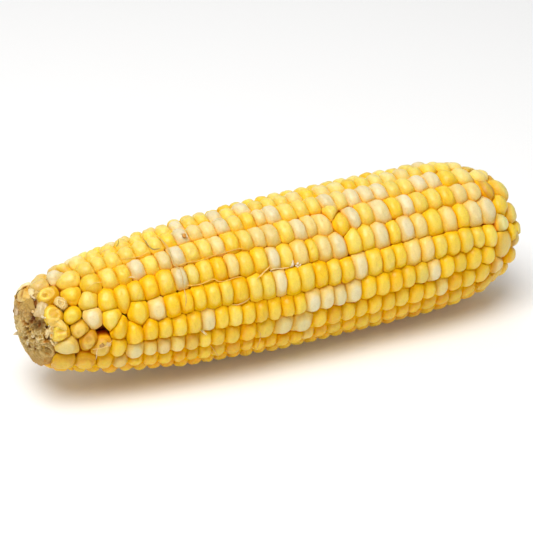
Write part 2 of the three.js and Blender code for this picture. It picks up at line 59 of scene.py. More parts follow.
LINE_X = [-78, -66, -54, -42, -30, -18, -6, 6, 18, 30, 42, 54, 66, 78, 86]
ROWS = [
    # centre line (degrees at LINE_X), then the stations where one kernel ends and the next begins
    ([112.2, 112.2, 109.6, 106.7, 106.3, 104.8, 102, 100.7, 102.7, 102.8, 100.2, 99.7, 100.4, 100.9, 100.2],
     [-77.6, -73.9, -69.6, -65.6, -60.2, -55.1, -50.1, -45.3, -40.9, -36.3, -31.3, -27.1, -22.7, -18.7, -14.2, -9.7, -4.5, 0, 4.4, 8.9, 13.7, 19, 24.2, 29.5, 34, 38.8, 43.3, 48.6, 53.4, 58.4, 64, 69.8, 75.5, 80.9, 84.8, 87.1]),
    ([86.7, 86.7, 86.2, 87.1, 87.1, 84.9, 83, 82.9, 83.5, 82.4, 81.4, 80.6, 82.9, 84.8, 84.9],
     [-78.1, -72.2, -65, -60.4, -56.4, -51.5, -46.7, -41.9, -37.3, -33.1, -28.4, -24.1, -19.6, -15, -10.5, -6.3, -2.8, 2.5, 7.7, 12.2, 17, 21.8, 26.1, 31.1, 36, 40.8, 45.6, 50.6, 55.8, 61.3, 67.7, 74.1, 80.1, 84.5, 87.7]),
    ([62.6, 63, 63.4, 64.5, 65, 63.9, 62.2, 61.1, 60.8, 61.5, 61.1, 61.8, 62.6, 60.8, 60.1],
     [-77.7, -72.9, -66.7, -60.1, -55.2, -50.8, -46.2, -41.7, -37.6, -33.1, -28.2, -24, -19.7, -14.8, -10.5, -6.3, -1.5, 3.4, 7.7, 11.6, 16.8, 22.5, 26.9, 32.1, 37.7, 42.2, 46.8, 52.2, 57.3, 62.5, 68.1, 73.7, 80, 83.5, 86]),
    ([37, 38.5, 40.6, 43, 44.4, 43.3, 41.2, 40.3, 40.1, 40.5, 40.5, 41, 42.3, 44.4, 46.5],
     [-78.3, -73.7, -68.6, -63, -57.7, -53.3, -49, -44, -38.9, -34.6, -30.9, -26.2, -21.6, -17.8, -12.8, -8, -4.1, 0.6, 5.7, 8.9, 14, 19.3, 24.5, 29.2, 34.6, 38.6, 43.8, 48.7, 54.6, 60.2, 64.7, 70.5, 77.2, 83.1, 86.3]),
    ([16, 17.5, 20.1, 21.8, 23, 22.5, 22, 20.8, 19.9, 20.4, 21.2, 20.6, 18.4, 15, 12.3],
     [-78, -73.2, -68.4, -63.3, -56.5, -48.1, -43.4, -38.7, -34.4, -30.2, -25.4, -21.4, -16.2, -11.8, -7.5, -3.5, 1, 6.2, 11, 15.5, 19.9, 25, 30.4, 34.7, 39.1, 44.7, 49.6, 54.2, 59.5, 64.7, 69.7, 75.5, 80.7, 84, 86.6]),
    ([-4.5, -2.8, -0.1, 0.2, 0.8, -0.9, -3.1, -1.8, -1.3, -0.6, 0.9, 1.8, 1.6, -0.3, -2.1],
     [-77.8, -70.9, -64.3, -56, -51, -46.1, -41.8, -37, -32.4, -28, -23.6, -19.1, -14.7, -10.5, -5.9, -1.4, 2.5, 7.6, 12.5, 17, 22.5, 27.7, 32.4, 37.1, 42.1, 46.6, 51.4, 56.6, 61.8, 68.1, 74.1, 79.6, 84.5, 87.4]),
    ([-22.1, -22, -20, -18.9, -17.5, -17.8, -19.4, -19.4, -19.3, -19.1, -17.5, -15.9, -15.2, -15.3, -16.2],
     [-77.1, -71.3, -66, -61.5, -56.1, -50.7, -46.6, -42.2, -37.6, -33.2, -29.2, -24.6, -19.3, -14, -7.6, -1.3, 5.4, 10.7, 15.6, 20.7, 25.4, 30.6, 35.3, 40.5, 45.7, 50.2, 54.9, 60.8, 66.2, 72.5, 79.9, 85, 87.8]),
    ([-62, -52, -36, -37.5, -36.3, -35.7, -37.5, -37.4, -37.4, -37.3, -36.1, -34.8, -34.3, -34.4, -34.9],
     [-76.5, -70.3, -64.9, -59.6, -54.7, -50.2, -45.3, -40.7, -36.2, -32.3, -28.1, -23.2, -17.9, -13.7, -9.9, -5.6, -1.3, 3.5, 7.6, 12.4, 17.7, 22.7, 27.3, 32.8, 37.7, 42.2, 47, 52.6, 57.5, 62.7, 68, 73.8, 79.2, 84.1, 87.8]),
    ([-87, -74, -60, -60, -59.1, -57.8, -57.7, -57.8, -58, -58, -57.4, -56.9, -56.6, -56.7, -57],
     [-77.3, -71.7, -66.4, -61.1, -56, -51.4, -46.8, -42.3, -38, -33.5, -28.9, -24.6, -20.1, -15.5, -11.2, -6.7, -2.1, 2.6, 7.1, 11.9, 16.6, 21.6, 26.4, 31, 36, 40.6, 45.7, 50.3, 55.3, 60.5, 66.3, 72.1, 77.7, 83.1, 87.8]),
    ([-105, -91, -80, -79, -79, -79, -79, -79, -79, -79, -79, -79, -79, -79, -79],
     [-78, -72.6, -67.3, -62.4, -57.6, -52.6, -48.1, -43.8, -39.4, -34.8, -30.6, -26.2, -21.7, -17.2, -12.9, -8.6, -4, 0.6, 5, 9.7, 14.5, 19.1, 23.9, 28.8, 33.5, 38.2, 43.1, 48, 53.1, 58.3, 63.5, 69, 74.6, 80.2, 86]),
    ([-122, -108, -101.5, -101, -101, -101, -101, -101, -101, -101, -101, -101, -101, -101, -101],
     [-77, -71.5, -66.4, -61.3, -56.2, -51.6, -47.2, -42.6, -38.1, -33.9, -29.4, -24.8, -20.5, -16.1, -11.6, -7.3, -2.8, 1.9, 6.4, 11, 15.9, 20.6, 25.2, 30.2, 35, 39.8, 44.7, 49.8, 54.9, 60, 65.4, 71, 76.4, 81.6, 86]),
    ([-137, -126, -122, -121.9, -121.6, -121.5, -121.5, -121.5, -121.5, -121.5, -121.5, -121.6, -121.9, -122, -122],
     [-77.8, -72.2, -67, -62, -57.2, -52.4, -47.7, -43.4, -39, -34.5, -30.1, -25.8, -21.4, -16.8, -12.4, -8.1, -3.7, 0.9, 5.5, 10, 14.8, 19.6, 24.3, 29.1, 34, 38.8, 43.7, 48.7, 53.6, 58.8, 64.1, 69.6, 75.2, 80.6, 86]),
    ([-151, -144, -142.1, -142, -142, -142, -142, -142, -142, -142, -142, -142, -142, -142, -142],
     [-77.2, -71.4, -66.1, -61.1, -56.5, -52, -47.3, -42.9, -38.6, -34.1, -29.6, -25.3, -20.9, -16.5, -12, -7.5, -3.1, 1.4, 6.1, 10.8, 15.4, 20.2, 25, 29.7, 34.6, 39.4, 44.3, 49.4, 54.4, 59.5, 64.9, 70.4, 76, 81.2, 86]),
    ([-166.5, -163, -162, -162, -162, -162, -162, -162, -162, -162, -162, -162, -162, -162, -162],
     [-78.3, -72.9, -67.6, -62.5, -57.7, -53, -48.3, -43.9, -39.6, -35.2, -30.7, -26.3, -21.9, -17.6, -13.2, -8.8, -4.3, 0.2, 4.8, 9.4, 14, 18.7, 23.5, 28.3, 33.1, 38, 42.8, 47.8, 52.9, 57.9, 63.2, 68.7, 74.2, 79.8, 86]),
    ([-184, -182, -182, -182, -182, -182, -182, -182, -182, -182, -182, -182, -182, -182, -182],
     [-77.5, -71.9, -66.7, -61.6, -56.8, -52.2, -47.6, -43.1, -38.7, -34.3, -29.9, -25.4, -21.1, -16.7, -12.2, -7.8, -3.4, 1.2, 5.8, 10.4, 15.2, 19.9, 24.6, 29.5, 34.3, 39.1, 44.1, 49, 54.1, 59.3, 64.6, 70.2, 75.8, 81, 86]),
    ([-201.5, -201.5, -201.5, -201.5, -201.5, -201.5, -201.5, -201.5, -201.5, -201.5, -201.5, -201.5, -201.5, -201.5, -201.5],
     [-78, -72.4, -67.1, -62.1, -57.3, -52.7, -48, -43.5, -39.2, -34.9, -30.4, -26, -21.6, -17.2, -12.8, -8.3, -3.9, 0.6, 5.2, 9.9, 14.6, 19.3, 24, 28.8, 33.7, 38.5, 43.4, 48.4, 53.4, 58.5, 63.8, 69.3, 74.9, 80.4, 86]),
    ([-218.5, -218.6, -219, -219.5, -219.6, -219.8, -220.3, -220.5, -220.1, -220.2, -220.6, -220.7, -220.6, -220.6, -220.7],
     [-76.5, -70.8, -65.3, -60.3, -55.7, -51, -46.3, -41.9, -37.5, -33, -28.6, -24.2, -20, -15.5, -11.1, -6.8, -2.4, 2.1, 6.7, 11.5, 16.4, 21.2, 26.1, 31, 35.7, 40.4, 45.3, 50.3, 55.2, 60.4, 65.9, 71.6, 77.5, 82.7, 87.1]),
    ([-233.9, -233.9, -235.4, -236.9, -237.1, -237.7, -239.1, -239.7, -238.7, -238.7, -239.9, -240.2, -239.8, -239.6, -240],
     [-77.3, -71.7, -66.2, -61.2, -56.4, -51.9, -47.3, -42.8, -38.4, -33.9, -29.5, -25.2, -20.7, -16.4, -11.9, -7.6, -3.3, 1.2, 5.8, 10.6, 15.5, 20.3, 25.2, 30.2, 34.8, 39.7, 44.6, 49.4, 54.4, 59.6, 64.9, 70.8, 76.6, 82.2, 87.1]),
]

# Kernels that stand out of the regular rows: row number, station, angle, half length
# along the ear, half width round it, what sort of kernel it is, and for a cut, shrunken
# or damaged one its hollows.  A hollow: centre along and round the kernel, half sizes
# (all as parts of the kernel's own half sizes), depth in mm, how stained, how sharp.
ODD = [
    (1, -71.5, 102.1, 2.3, 3.1, "white"),
    (1, -76.4, 103.9, 2.3, 3.0, "ghost", [(0.1, -0.1, 0.6, 0.5, 0.25, 0.3, 2)]),
    (18, -80.1, 130.0, 2.2, 3.0, "husk", [(0.0, 0.0, 0.6, 0.6, 0.9, 0.6, 3)]),
    (2, -68.6, 80.8, 3.4, 4.0, "gold"),
    (2, -76.0, 71.0, 2.7, 2.9, "cut", [(0.04, -0.05, 0.66, 0.62, 0.62, 0.75, 5), (-0.44, -0.12, 0.24, 0.26, 1.1, 1.0, 2.5)]),
    (3, -69.9, 58.7, 3.0, 3.8, "deep"),
    (3, -63.3, 63.6, 3.2, 3.9, "deep"),
    (3, -73.4, 51.3, 1.5, 1.6, "husk", [(-0.05, 0.1, 0.58, 0.55, 0.9, 0.7, 3)]),
    (4, -76.3, 40.3, 2.1, 2.8, "cut", [(0.04, 0.02, 0.62, 0.66, 0.75, 0.9, 5)]),
    (4, -71.5, 33.3, 2.7, 2.6, "gold"),
    (4, -65.7, 45.8, 2.8, 3.2, "pale"),
    (5, -65.7, 25.6, 2.9, 3.1, "white"),
    (5, -60.2, 21.3, 3.2, 3.2, "pale"),
    (5, -51.5, 21.8, 3.3, 3.6, "gold"),
    (5, -75.5, 14.9, 2.3, 3.2, "cut", [(0.0, 0.30, 0.62, 0.36, 0.60, 0.9, 4), (0.0, -0.34, 0.56, 0.26, 0.32, 0.55, 4), (-0.98, 0.1, 0.40, 0.8, 0.8, 0.1, 3)]),
    (5, -70.0, 16.0, 2.75, 3.1, "dull", [(0.0, 0.0, 0.70, 0.70, 0.16, 0.22, 7), (-0.28, -0.36, 0.24, 0.22, 0.16, 0.9, 2)]),
    (6, -58.4, 8.1, 2.7, 3.6, "deep"),
    (6, -74.0, -4.0, 3.1, 2.7, "cream", [(0.3, 0.0, 0.5, 0.5, 0.12, 0.0, 2)]),
    (6, -67.6, 1.4, 2.7, 2.9, "amber", [(-0.15, 0.30, 0.62, 0.36, 0.75, 0.9, 3), (0.1, -0.45, 0.5, 0.2, 0.2, 0.5, 3)]),
    (7, -63.8, -8.5, 2.0, 4.2, "papery", [(0.0, 0.1, 0.5, 0.55, 0.4, 0.3, 3)]),
    (7, -58.6, -13.0, 2.7, 3.6, "gold"),
    (7, -74.3, -37.0, 2.9, 5.4, "fused", [(0.0, -0.1, 0.7, 0.66, 0.10, 0.0, 7)]),
    (7, -68.3, -37.0, 2.75, 5.8, "dull", [(-0.05, 0.0, 0.6, 0.6, 0.10, 0.0, 7)]),
    (8, -73.4, -70.0, 2.8, 3.2, "deep"),
    (8, -67.6, -70.5, 2.7, 3.4, "gold"),
    (8, -62.4, -35.0, 2.6, 3.6, "gold"),
    (8, -57.4, -35.5, 2.3, 3.9, "tan"),
    (3, 18.5, 68.8, 2.6, 2.2, "gold"),
    (3, 20.2, 56.4, 3.2, 3.6, "deep"),
    (3, 24.9, 60.4, 2.2, 4.2, "white"),
    # the butt end, where kernels are half grown, glassy or run together
    (1, 71.9, 101.9, 2.8, 3.8, "pale"),
    (1, 77.6, 99.5, 2.4, 3.2, "fused"),
    (2, 78.6, 88.4, 3.2, 3.6, "pale", [(0.25, 0.2, 0.3, 0.3, 0.15, 0.0, 2)]),
    (2, 84.7, 96.3, 2.0, 3.6, "amber"),
    (3, 77.1, 62.1, 3.4, 3.9, "amber", [(-0.55, 0.15, 0.40, 0.5, -0.15, 0.0, 2), (0.45, -0.05, 0.42, 0.62, 0.25, 1.0, 2)]),
    (3, 83.1, 65.7, 2.5, 4.0, "glassy"),
    (4, 80.1, 45.8, 3.2, 3.4, "gold"),
    (4, 84.3, 34.0, 1.8, 3.2, "glassy"),
    (5, 78.7, 26.2, 3.5, 2.9, "green", [(-0.1, 0.0, 0.10, 0.7, 0.10, 0.3, 2)]),
    (5, 78.4, 6.2, 3.8, 6.2, "fused", [(0.2, -0.1, 0.35, 0.30, 0.10, 0.0, 2), (-0.1, 0.45, 0.5, 0.25, 0.08, 0.0, 2)]),
    (6, 84.7, 5.0, 2.4, 4.6, "ghost"),
    (7, 76.1, -14.2, 2.9, 3.2, "peach"),
    (7, 83.1, -16.5, 3.0, 3.4, "deep"),
    (8, 77.5, -30.3, 3.2, 3.2, "fused"),
    (8, 71.9, -32.1, 2.4, 3.2, "fused"),
]
# Gaps where a kernel never filled: station, angle, half length, half width
VOIDS = [(-63.6, 7.0, 0.72, 0.5)]
# Regular kernels that the odd ones stand in for: row number, from station, to station
DROP = [(8, -80, -54.7), (1, -80, -69.6), (2, -80, -65), (3, -80, -60.1), (4, -80, -63), (5, -80, -48.1), (6, -80, -56),
        (7, -80, -56.1), (3, 16.8, 26.9),
        (1, 69.8, 80.9), (2, 74.1, 90), (3, 73.7, 90), (4, 77.2, 90), (5, 75.5, 80.7), (6, 74.1, 90), (7, 72.5, 90), (8, 68, 79.2)]
# ---------------------------------------------------------------- helpers


def pchip(xs, ys, x):
    """Monotone cubic through the table."""
    xs, ys = np.asarray(xs, float), np.asarray(ys, float)
    h, d = np.diff(xs), np.diff(ys) / np.diff(xs)
    m = np.zeros(len(xs))
    m[0], m[-1] = d[0], d[-1]
    for i in range(1, len(xs) - 1):
        if d[i - 1] * d[i] > 0:
            w1, w2 = 2 * h[i] + h[i - 1], h[i] + 2 * h[i - 1]
            m[i] = (w1 + w2) / (w1 / d[i - 1] + w2 / d[i])
    x = np.clip(np.asarray(x, float), xs[0], xs[-1])
    i = np.clip(np.searchsorted(xs, x, side="right") - 1, 0, len(xs) - 2)
    t = (x - xs[i]) / h[i]
    return ((2 * t**3 - 3 * t**2 + 1) * ys[i] + (t**3 - 2 * t**2 + t) * h[i] * m[i]
            + (-2 * t**3 + 3 * t**2) * ys[i + 1] + (t**3 - t**2) * h[i] * m[i + 1])


def smooth(a, b, x):
    t = np.clip((np.asarray(x, float) - a) / (b - a), 0, 1)
    return t * t * (3 - 2 * t)


# the crown profile as a curve by arc length, carried on past both ends
_px = np.linspace(-84, 86, 3401)
_pr = pchip(CROWN_X, CROWN_R, _px)
_ps = np.concatenate([[0], np.cumsum(np.hypot(np.diff(_px), np.diff(_pr)))])
_ps -= np.interp(0, _px, _ps)
_tx, _tr = np.gradient(_px, _ps), np.gradient(_pr, _ps)
_k = np.ones(41) / 41
_trs = np.convolve(np.pad(_tr, 20, mode="edge"), _k, mode="valid")
_txs = np.sqrt(np.clip(1 - _trs**2, 0.05, 1))


def s_of(x):
    return np.interp(x, _px, _ps)


def profile(s):
    """Station, radius and outward normal of the crown surface at arc length s."""
    s = np.asarray(s, float)
    x, r = np.interp(s, _ps, _px), np.interp(s, _ps, _pr)
    nr, nx = np.interp(s, _ps, _txs), -np.interp(s, _ps, _trs)
    over = np.maximum(s - _ps[-1], 0)
    under = np.minimum(s - _ps[0], 0)
    x = x + over * _txs[-1] + under * _txs[0]
    r = r + over * _trs[-1] + under * _trs[0]
    return x, r, nx, nr


def place(s, phi_rad, h):
    """Point of the ear at arc length s and angle phi, h above the crown surface. In metres."""
    x, r, nx, nr = profile(s)
    x, r = x + h * nx, r + h * nr
    return np.stack([(x - ORIGIN_X), -r * np.cos(phi_rad), np.maximum(AXIS_Z + r * np.sin(phi_rad), 0.0)], -1) * MM


def row_line(i, x):
    return np.interp(x, LINE_X, ROWS[i][0])


# ---------------------------------------------------------------- the kernels' layout
rng = np.random.default_rng(20614)
K = []                                            # one dict for each kernel or gap
for i, (line, cuts) in enumerate(ROWS):
    for a, b in zip(cuts, cuts[1:]):
        c = (a + b) / 2
        if any(r == i + 1 and lo <= c <= hi for r, lo, hi in DROP):
            continue
        K.append(dict(row=i, x=c, phi=float(row_line(i, c)) + rng.normal(0, 0.35), hs=float(s_of(b) - s_of(a)) / 2, sort=None))
for r, x, phi, hs, hw, sort, *more in ODD:
    K.append(dict(row=r - 1, x=x, phi=phi, hs=hs, hw=hw, sort=sort, hollows=more[0] if more else []))
for x, phi, hs, hw in VOIDS:
    K.append(dict(row=-1, x=x, phi=phi, hs=hs, hw=hw, sort="void"))
N = len(K)
KS = np.array([float(s_of(k["x"])) for k in K])
KP = np.radians([k["phi"] for k in K])
KX = np.array([k["x"] for k in K])
KR = pchip(CROWN_X, CROWN_R, KX)
KAPPA = 0.56 + 0.30 * smooth(-58, -66, KX) + 0.18 * smooth(70, 82, KX)
KW = np.array([k.get("hw", 0.0) for k in K])
KH = np.array([k["hs"] for k in K])
KROW = np.array([k["row"] for k in K])
KODD = np.array([k["sort"] is not None for k in K])
# weight of a cell: from its half length, or the mean of its two half sizes where both are given
KWT = np.where(KW > 0, 0.5 * (KH + KAPPA * KW), KH) ** 2

# where the ear stands proud of the plain profile: station, angle, spread of each, by how much
BULGES = [(66.0, 108.0, 10.0, 28.0, 0.75), (83.0, 72.0, 3.5, 22.0, 1.2), (84.0, 10.0, 3.0, 40.0, 1.0), (79.0, 30.0, 4.0, 25.0, 0.4)]

NT, RINGS = ((40, 12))
PSI = np.arange(NT) / NT * 2 * math.pi
POWER, POWER_DEEP = 2.5, 11.0        # how square a kernel's outline is at its crown, and down its flank


def roundness(i):
    """How square kernel i is at its crown and down its flank: loose ones are rounder."""
    if KODD[i] and KX[i] < -66:
        return 2.45, 7.0
    if KODD[i] and KX[i] > 70:
        return (4.5, 14.0) if K[i]["sort"] in ("fused", "glassy") else (2.9, 10.0)
    return (2.7, 11.0) if KX[i] < -68 else (POWER, POWER_DEEP)


def cell(i):
    """How far the kernel's edge is in each of NT directions. Returns unit directions (NT, 2) and distances."""
    ds = KS - KS[i]
    dphi = (KP - KP[i] + math.pi) % (2 * math.pi) - math.pi
    x, _, _, _ = profile((KS + KS[i]) / 2)
    rm = pchip(CROWN_X, CROWN_R, x)
    dv = dphi * rm
    near = (np.abs(ds) < 13) & (np.abs(dv) < 17)
    near[i] = False
    j = np.nonzero(near)[0]
    kap = (KAPPA[j] + KAPPA[i]) / 2
    a, b = ds[j], kap * dv[j]
    D = np.hypot(a, b)
    dist = (D * D + KWT[i] - KWT[j]) / (2 * D)
    dist = np.maximum(dist, 0.35)
    # where two rows meet, the border leans less than a plain cell diagram would have it
    lean = np.where((KROW[j] != KROW[i]) & ~KODD[j] & ~KODD[i], 0.5, 1.0)
    n1, n2 = lean * a, b
    nn = np.hypot(n1, n2)
    n1, n2 = n1 / nn, n2 / nn
    dist = dist * (a * n1 + b * n2) / D
    a, b = n1 * D, n2 * D
    ka = KAPPA[i]
    d = np.stack([np.cos(PSI), np.sin(PSI) / ka], 1)
    d /= np.linalg.norm(d, axis=1)[:, None]
    q = (np.outer(d[:, 0], a / D) + np.outer(d[:, 1], kap * b / D)) / dist[None, :]      # b is already in squeezed lengths
    q = np.maximum(q, 0)
    # nothing is bounded further out than this, at the open ends of the rows
    lim = 1 / max(3.6, KH[i] * 1.5)
    soft, full = [(np.sum(q**pw, 1) + (lim * np.abs(d[:, 0]))**pw + (1 / 6.0)**pw) ** (-1 / pw) for pw in roundness(i)]
    # rounding the corners must not draw the flats away from the neighbours
    h, v = NT // 2, NT // 4
    hard = 1 / np.maximum(np.max(q, 1), np.maximum(lim * np.abs(d[:, 0]), 1 / 6.0))
    if not (KODD[i] and (KX[i] < -66 or KX[i] > 70)):
        g = hard / full
        full = np.minimum(full * (min((g[0] + g[h]) / 2, 1.03) * d[:, 0] ** 2 + min(max(g[v], g[3 * v]), 1.075) * d[:, 1] ** 2), hard)
    g = full / soft
    gs, gv = min((g[0] + g[h]) / 2, 1.14), min((g[v] + g[3 * v]) / 2, 1.28)
    if KODD[i] and (KX[i] < -66 or KX[i] > 70):
        gs = gv = 1.03 if K[i]["sort"] in ("fused", "glassy") and KX[i] > 70 else 1.10
    soft = np.minimum(soft * (gs * d[:, 0] ** 2 + gv * d[:, 1] ** 2), full)
    return d, soft, full


# ---------------------------------------------------------------- kernel sorts and colours
def lin(r, g, b):
    c = np.array([r, g, b]) / 255
    return np.where(c <= 0.04045, c / 12.92, ((c + 0.055) / 1.055) ** 2.4)


GOLD, GOLD_LOW = lin(238, 201, 70), lin(240, 190, 24)
PALE, PALE_LOW = lin(238, 206, 94), lin(238, 196, 46)
DEEP, DEEP_LOW = lin(238, 193, 42), lin(238, 180, 8)
WHITE, WHITE_LOW = lin(230, 214, 164), lin(232, 204, 124)
DULL, DULL_LOW = lin(232, 196, 100), lin(220, 170, 50)
GREEN, GREEN_LOW = lin(238, 222, 148), lin(220, 190, 98)
PAPER, PAPER_LOW = lin(236, 198, 92), lin(226, 172, 48)
AMBER, AMBER_LOW = lin(222, 180, 68), lin(210, 150, 28)
GHOST, GHOST_LOW = lin(228, 198, 116), lin(212, 166, 62)
FUSED, FUSED_LOW = lin(230, 196, 104), lin(224, 176, 54)
GLASSY, GLASSY_LOW = lin(236, 206, 108), lin(228, 180, 54)
RIM = lin(240, 206, 88)
TANNED, TANNED_LOW = lin(230, 202, 134), lin(216, 178, 92)
PEACH, PEACH_LOW = lin(236, 208, 138), lin(226, 180, 84)

# Runs of cream-white kernels along a row: row number, from station, to station
WHITES = [
    (1, -32.1, -26.6), (1, -10.3, -4.3), (1, 8.5, 14.2), (1, 48.2, 53.6), (1, 18.9, 24.3),
    (2, -33.5, -28.3), (2, -19.7, -14.9), (2, -3, 2.6), (2, 16.9, 21.9), (2, 26, 40.9), (2, 50.6, 61.4), (2, -28.5, -24),
    (3, -50.9, -46.1), (3, -37.7, -33), (3, 3.3, 7.8), (3, 32, 37.8), (3, 42.1, 46.9), (3, 62.4, 73.8), (3, -24.1, -19.6),
    (4, -39, -34.5), (4, -21.7, -17.7), (4, -8.1, -4), (4, 13.9, 19.4), (4, 0.5, 5.8), (4, 29.1, 34.7), (4, 38.5, 43.9), (4, 43.7, 48.8), (4, 54.5, 60.3), (4, 64.6, 77.3), (4, 8.8, 14.1),
    (5, -48.2, -43.3), (5, -7.6, -3.4), (5, 19.8, 25.1), (5, 39, 49.7), 
    (6, -32.5, -27.9), (6, 2.4, 22.5), (6, 46.5, 51.4),
    (7, -56.2, -50.7), (7, -7.7, 5.5), (7, 50.1, 55.1), (7, 72.4, 80),
    (8, 3.5, 7.7),
]
# Single kernels of the regular rows that look like none of their neighbours: row, from station, to station, sort
SINGLE = [(1, -70.0, -65.2, "glassy"), (2, 12.6, 16.6, "cream"), (3, 27.4, 31.6, "cream"), (4, -34.6, -31.0, "pale"), (7, 0.2, 4.0, "tan"), (1, 80.6, 85.0, "glassy"), (1, -50.3, -45.1, "gold"), (1, -18.9, -14.0, "white"), (1, 4.2, 9.1, "gold"), (1, 63.8, 70.0, "gold"),
          (2, -60.6, -56.2, "gold"), (2, -24.3, -19.4, "cream"), (2, -6.5, -2.6, "cream"), (2, 45.4, 50.8, "gold"),
          (3, -46.4, -41.5, "gold"), (3, -41.9, -37.4, "cream"), (3, -10.7, -6.1, "cream"), (3, -6.5, -1.3, "cream"), (3, 7.5, 11.8, "cream"), (3, 11.4, 17.0, "cream"), (3, 46.6, 52.4, "gold"),
          (4, -13.0, -7.8, "gold"), (4, -4.3, 0.8, "pale"), (4, 19.1, 24.7, "pale"), (4, 24.3, 29.4, "pale"),
          (5, -43.6, -38.5, "deep"), (5, -38.9, -34.2, "deep"), (5, 49.4, 54.4, "pale"),
          (6, -51.2, -45.9, "deep"), (6, -14.9, -10.3, "deep"), (8, -23.4, -17.7, "deep"), (8, 52.4, 57.7, "deep"),
          (7, -51.6, -46.0, "cream"), (7, -47.0, -41.8, "tan"), (7, -42.8, -37.0, "cream"), (7, -38.0, -32.8, "dull"),
          (8, -60.0, -54.0, "tan"), (8, -45.6, -40.4, "pale"), (1, -80.5, -73.0, "ghost"), (18, -79.0, -71.0, "ghost"), (18, -72.5, -65.5, "ghost")]
HALF_WHITE = {(1, 48.2), (2, -28.5), (3, -24.1), (4, -21.7), (4, 0.5), (4, 8.8), (4, 43.7), (4, 54.5), (7, 50.1), (7, 72.4), (8, 3.5), (5, 39), (1, 18.9), (3, 62.4), (1, 8.5)}

for n, k in enumerate(K):
    r = np.random.default_rng(7000 + n)
    k["rng"] = r
    sort = k["sort"]
    if sort == "void":
        continue
    hit = None
    if sort is None:
        for w in WHITES:
            if w[0] == k["row"] + 1 and w[1] - 0.2 <= k["x"] - k["hs"] * 0.5 and k["x"] + k["hs"] * 0.5 <= w[2] + 0.2:
                hit = w
        one = [w[3] for w in SINGLE if w[0] == k["row"] + 1 and w[1] - 0.2 <= k["x"] - k["hs"] and k["x"] + k["hs"] <= w[2] + 0.2]
        if one:
            sort = one[0]
        elif hit:
            sort = "white" if (hit[0], hit[1]) not in HALF_WHITE else "cream"
        elif k["row"] < 8:
            sort = r.choice(["gold", "pale", "deep"], p=[0.56, 0.26, 0.18])
        else:
            sort = r.choice(["gold", "pale", "deep", "white", "cream"], p=[0.50, 0.16, 0.34, 0, 0] if k["row"] < 11 else [0.47, 0.20, 0.13, 0.13, 0.07])
        k["sort"] = sort
    top, low = {"gold": (GOLD, GOLD_LOW), "pale": (PALE, PALE_LOW), "deep": (DEEP, DEEP_LOW), "white": (WHITE, WHITE_LOW),
                "cream": ((WHITE + PALE) / 2, (WHITE_LOW + PALE_LOW) / 2), "dull": (DULL, DULL_LOW), "green": (GREEN, GREEN_LOW),
                "papery": (PAPER, PAPER_LOW), "amber": (AMBER, AMBER_LOW), "ghost": (GHOST, GHOST_LOW), "husk": (GHOST, GHOST_LOW),
                "cut": (RIM, lin(222, 168, 28)), "tan": (TANNED, TANNED_LOW), "fused": (FUSED, FUSED_LOW), "glassy": (GLASSY, GLASSY_LOW), "peach": (PEACH, PEACH_LOW)}[sort]
    v = float(r.normal(0, 0.035))
    sat = float(r.normal(0, 0.04))
    # painted light: paler, bluer on the upper side where the overhead light falls and sheen shows; painted shade: a
    # deeper, more saturated yellow towards the underside
    side = (k["phi"] + 180) % 360 - 180
    side = side if abs(side) <= 90 else math.copysign(180 - abs(side), side)
    side = min(side, 20.0) if sort in ("cut", "amber", "glassy", "papery", "fused") else side
    up, down = float(smooth(30, 74, side)), float(smooth(0, -42, side))
    painted_light = np.array([1 - 0.04 * down, 1.08 + 0.06 * up - 0.17 * down, (1.12 + 1.25 * up) * (1 - 0.88 * down)])
    # pale kernels take only a little of this painted light and shade
    if sort in ("white", "cream", "ghost", "tan", "peach"):
        painted_light = 1 + (0.40 if side < 10 else 0.06) * (painted_light - 1)
    top, low = np.clip(top * painted_light, 0, 0.93), np.clip(low * (1 + 0.7 * (painted_light - 1)), 0, 0.93)
    if sort in ("gold", "pale", "deep"):
        top[1] = min(top[1], 0.83 * top[0])
    # painted light: on the upper side the flank colour is drawn towards the crown colour, so the creases there read
    # lighter
    low = low + 0.65 * up * (top - low)
    k["top"] = np.clip(top * (1 + v) * np.array([1, 1 + 0.3 * sat, 1 + sat * 2.2]), 0, 1)
    k["low"] = np.clip(low * (1 + v), 0, 1)

# ---------------------------------------------------------------- kernel meshes
RHO = np.sin(np.linspace(0, 1, RINGS + 1)[1:] * math.pi / 2) ** 0.92     # rings of the dome, denser near the edge
WALLS = np.array([0.25, 0.7, 1.9, 6.2])                                     # rings down the flank, below the dome's edge


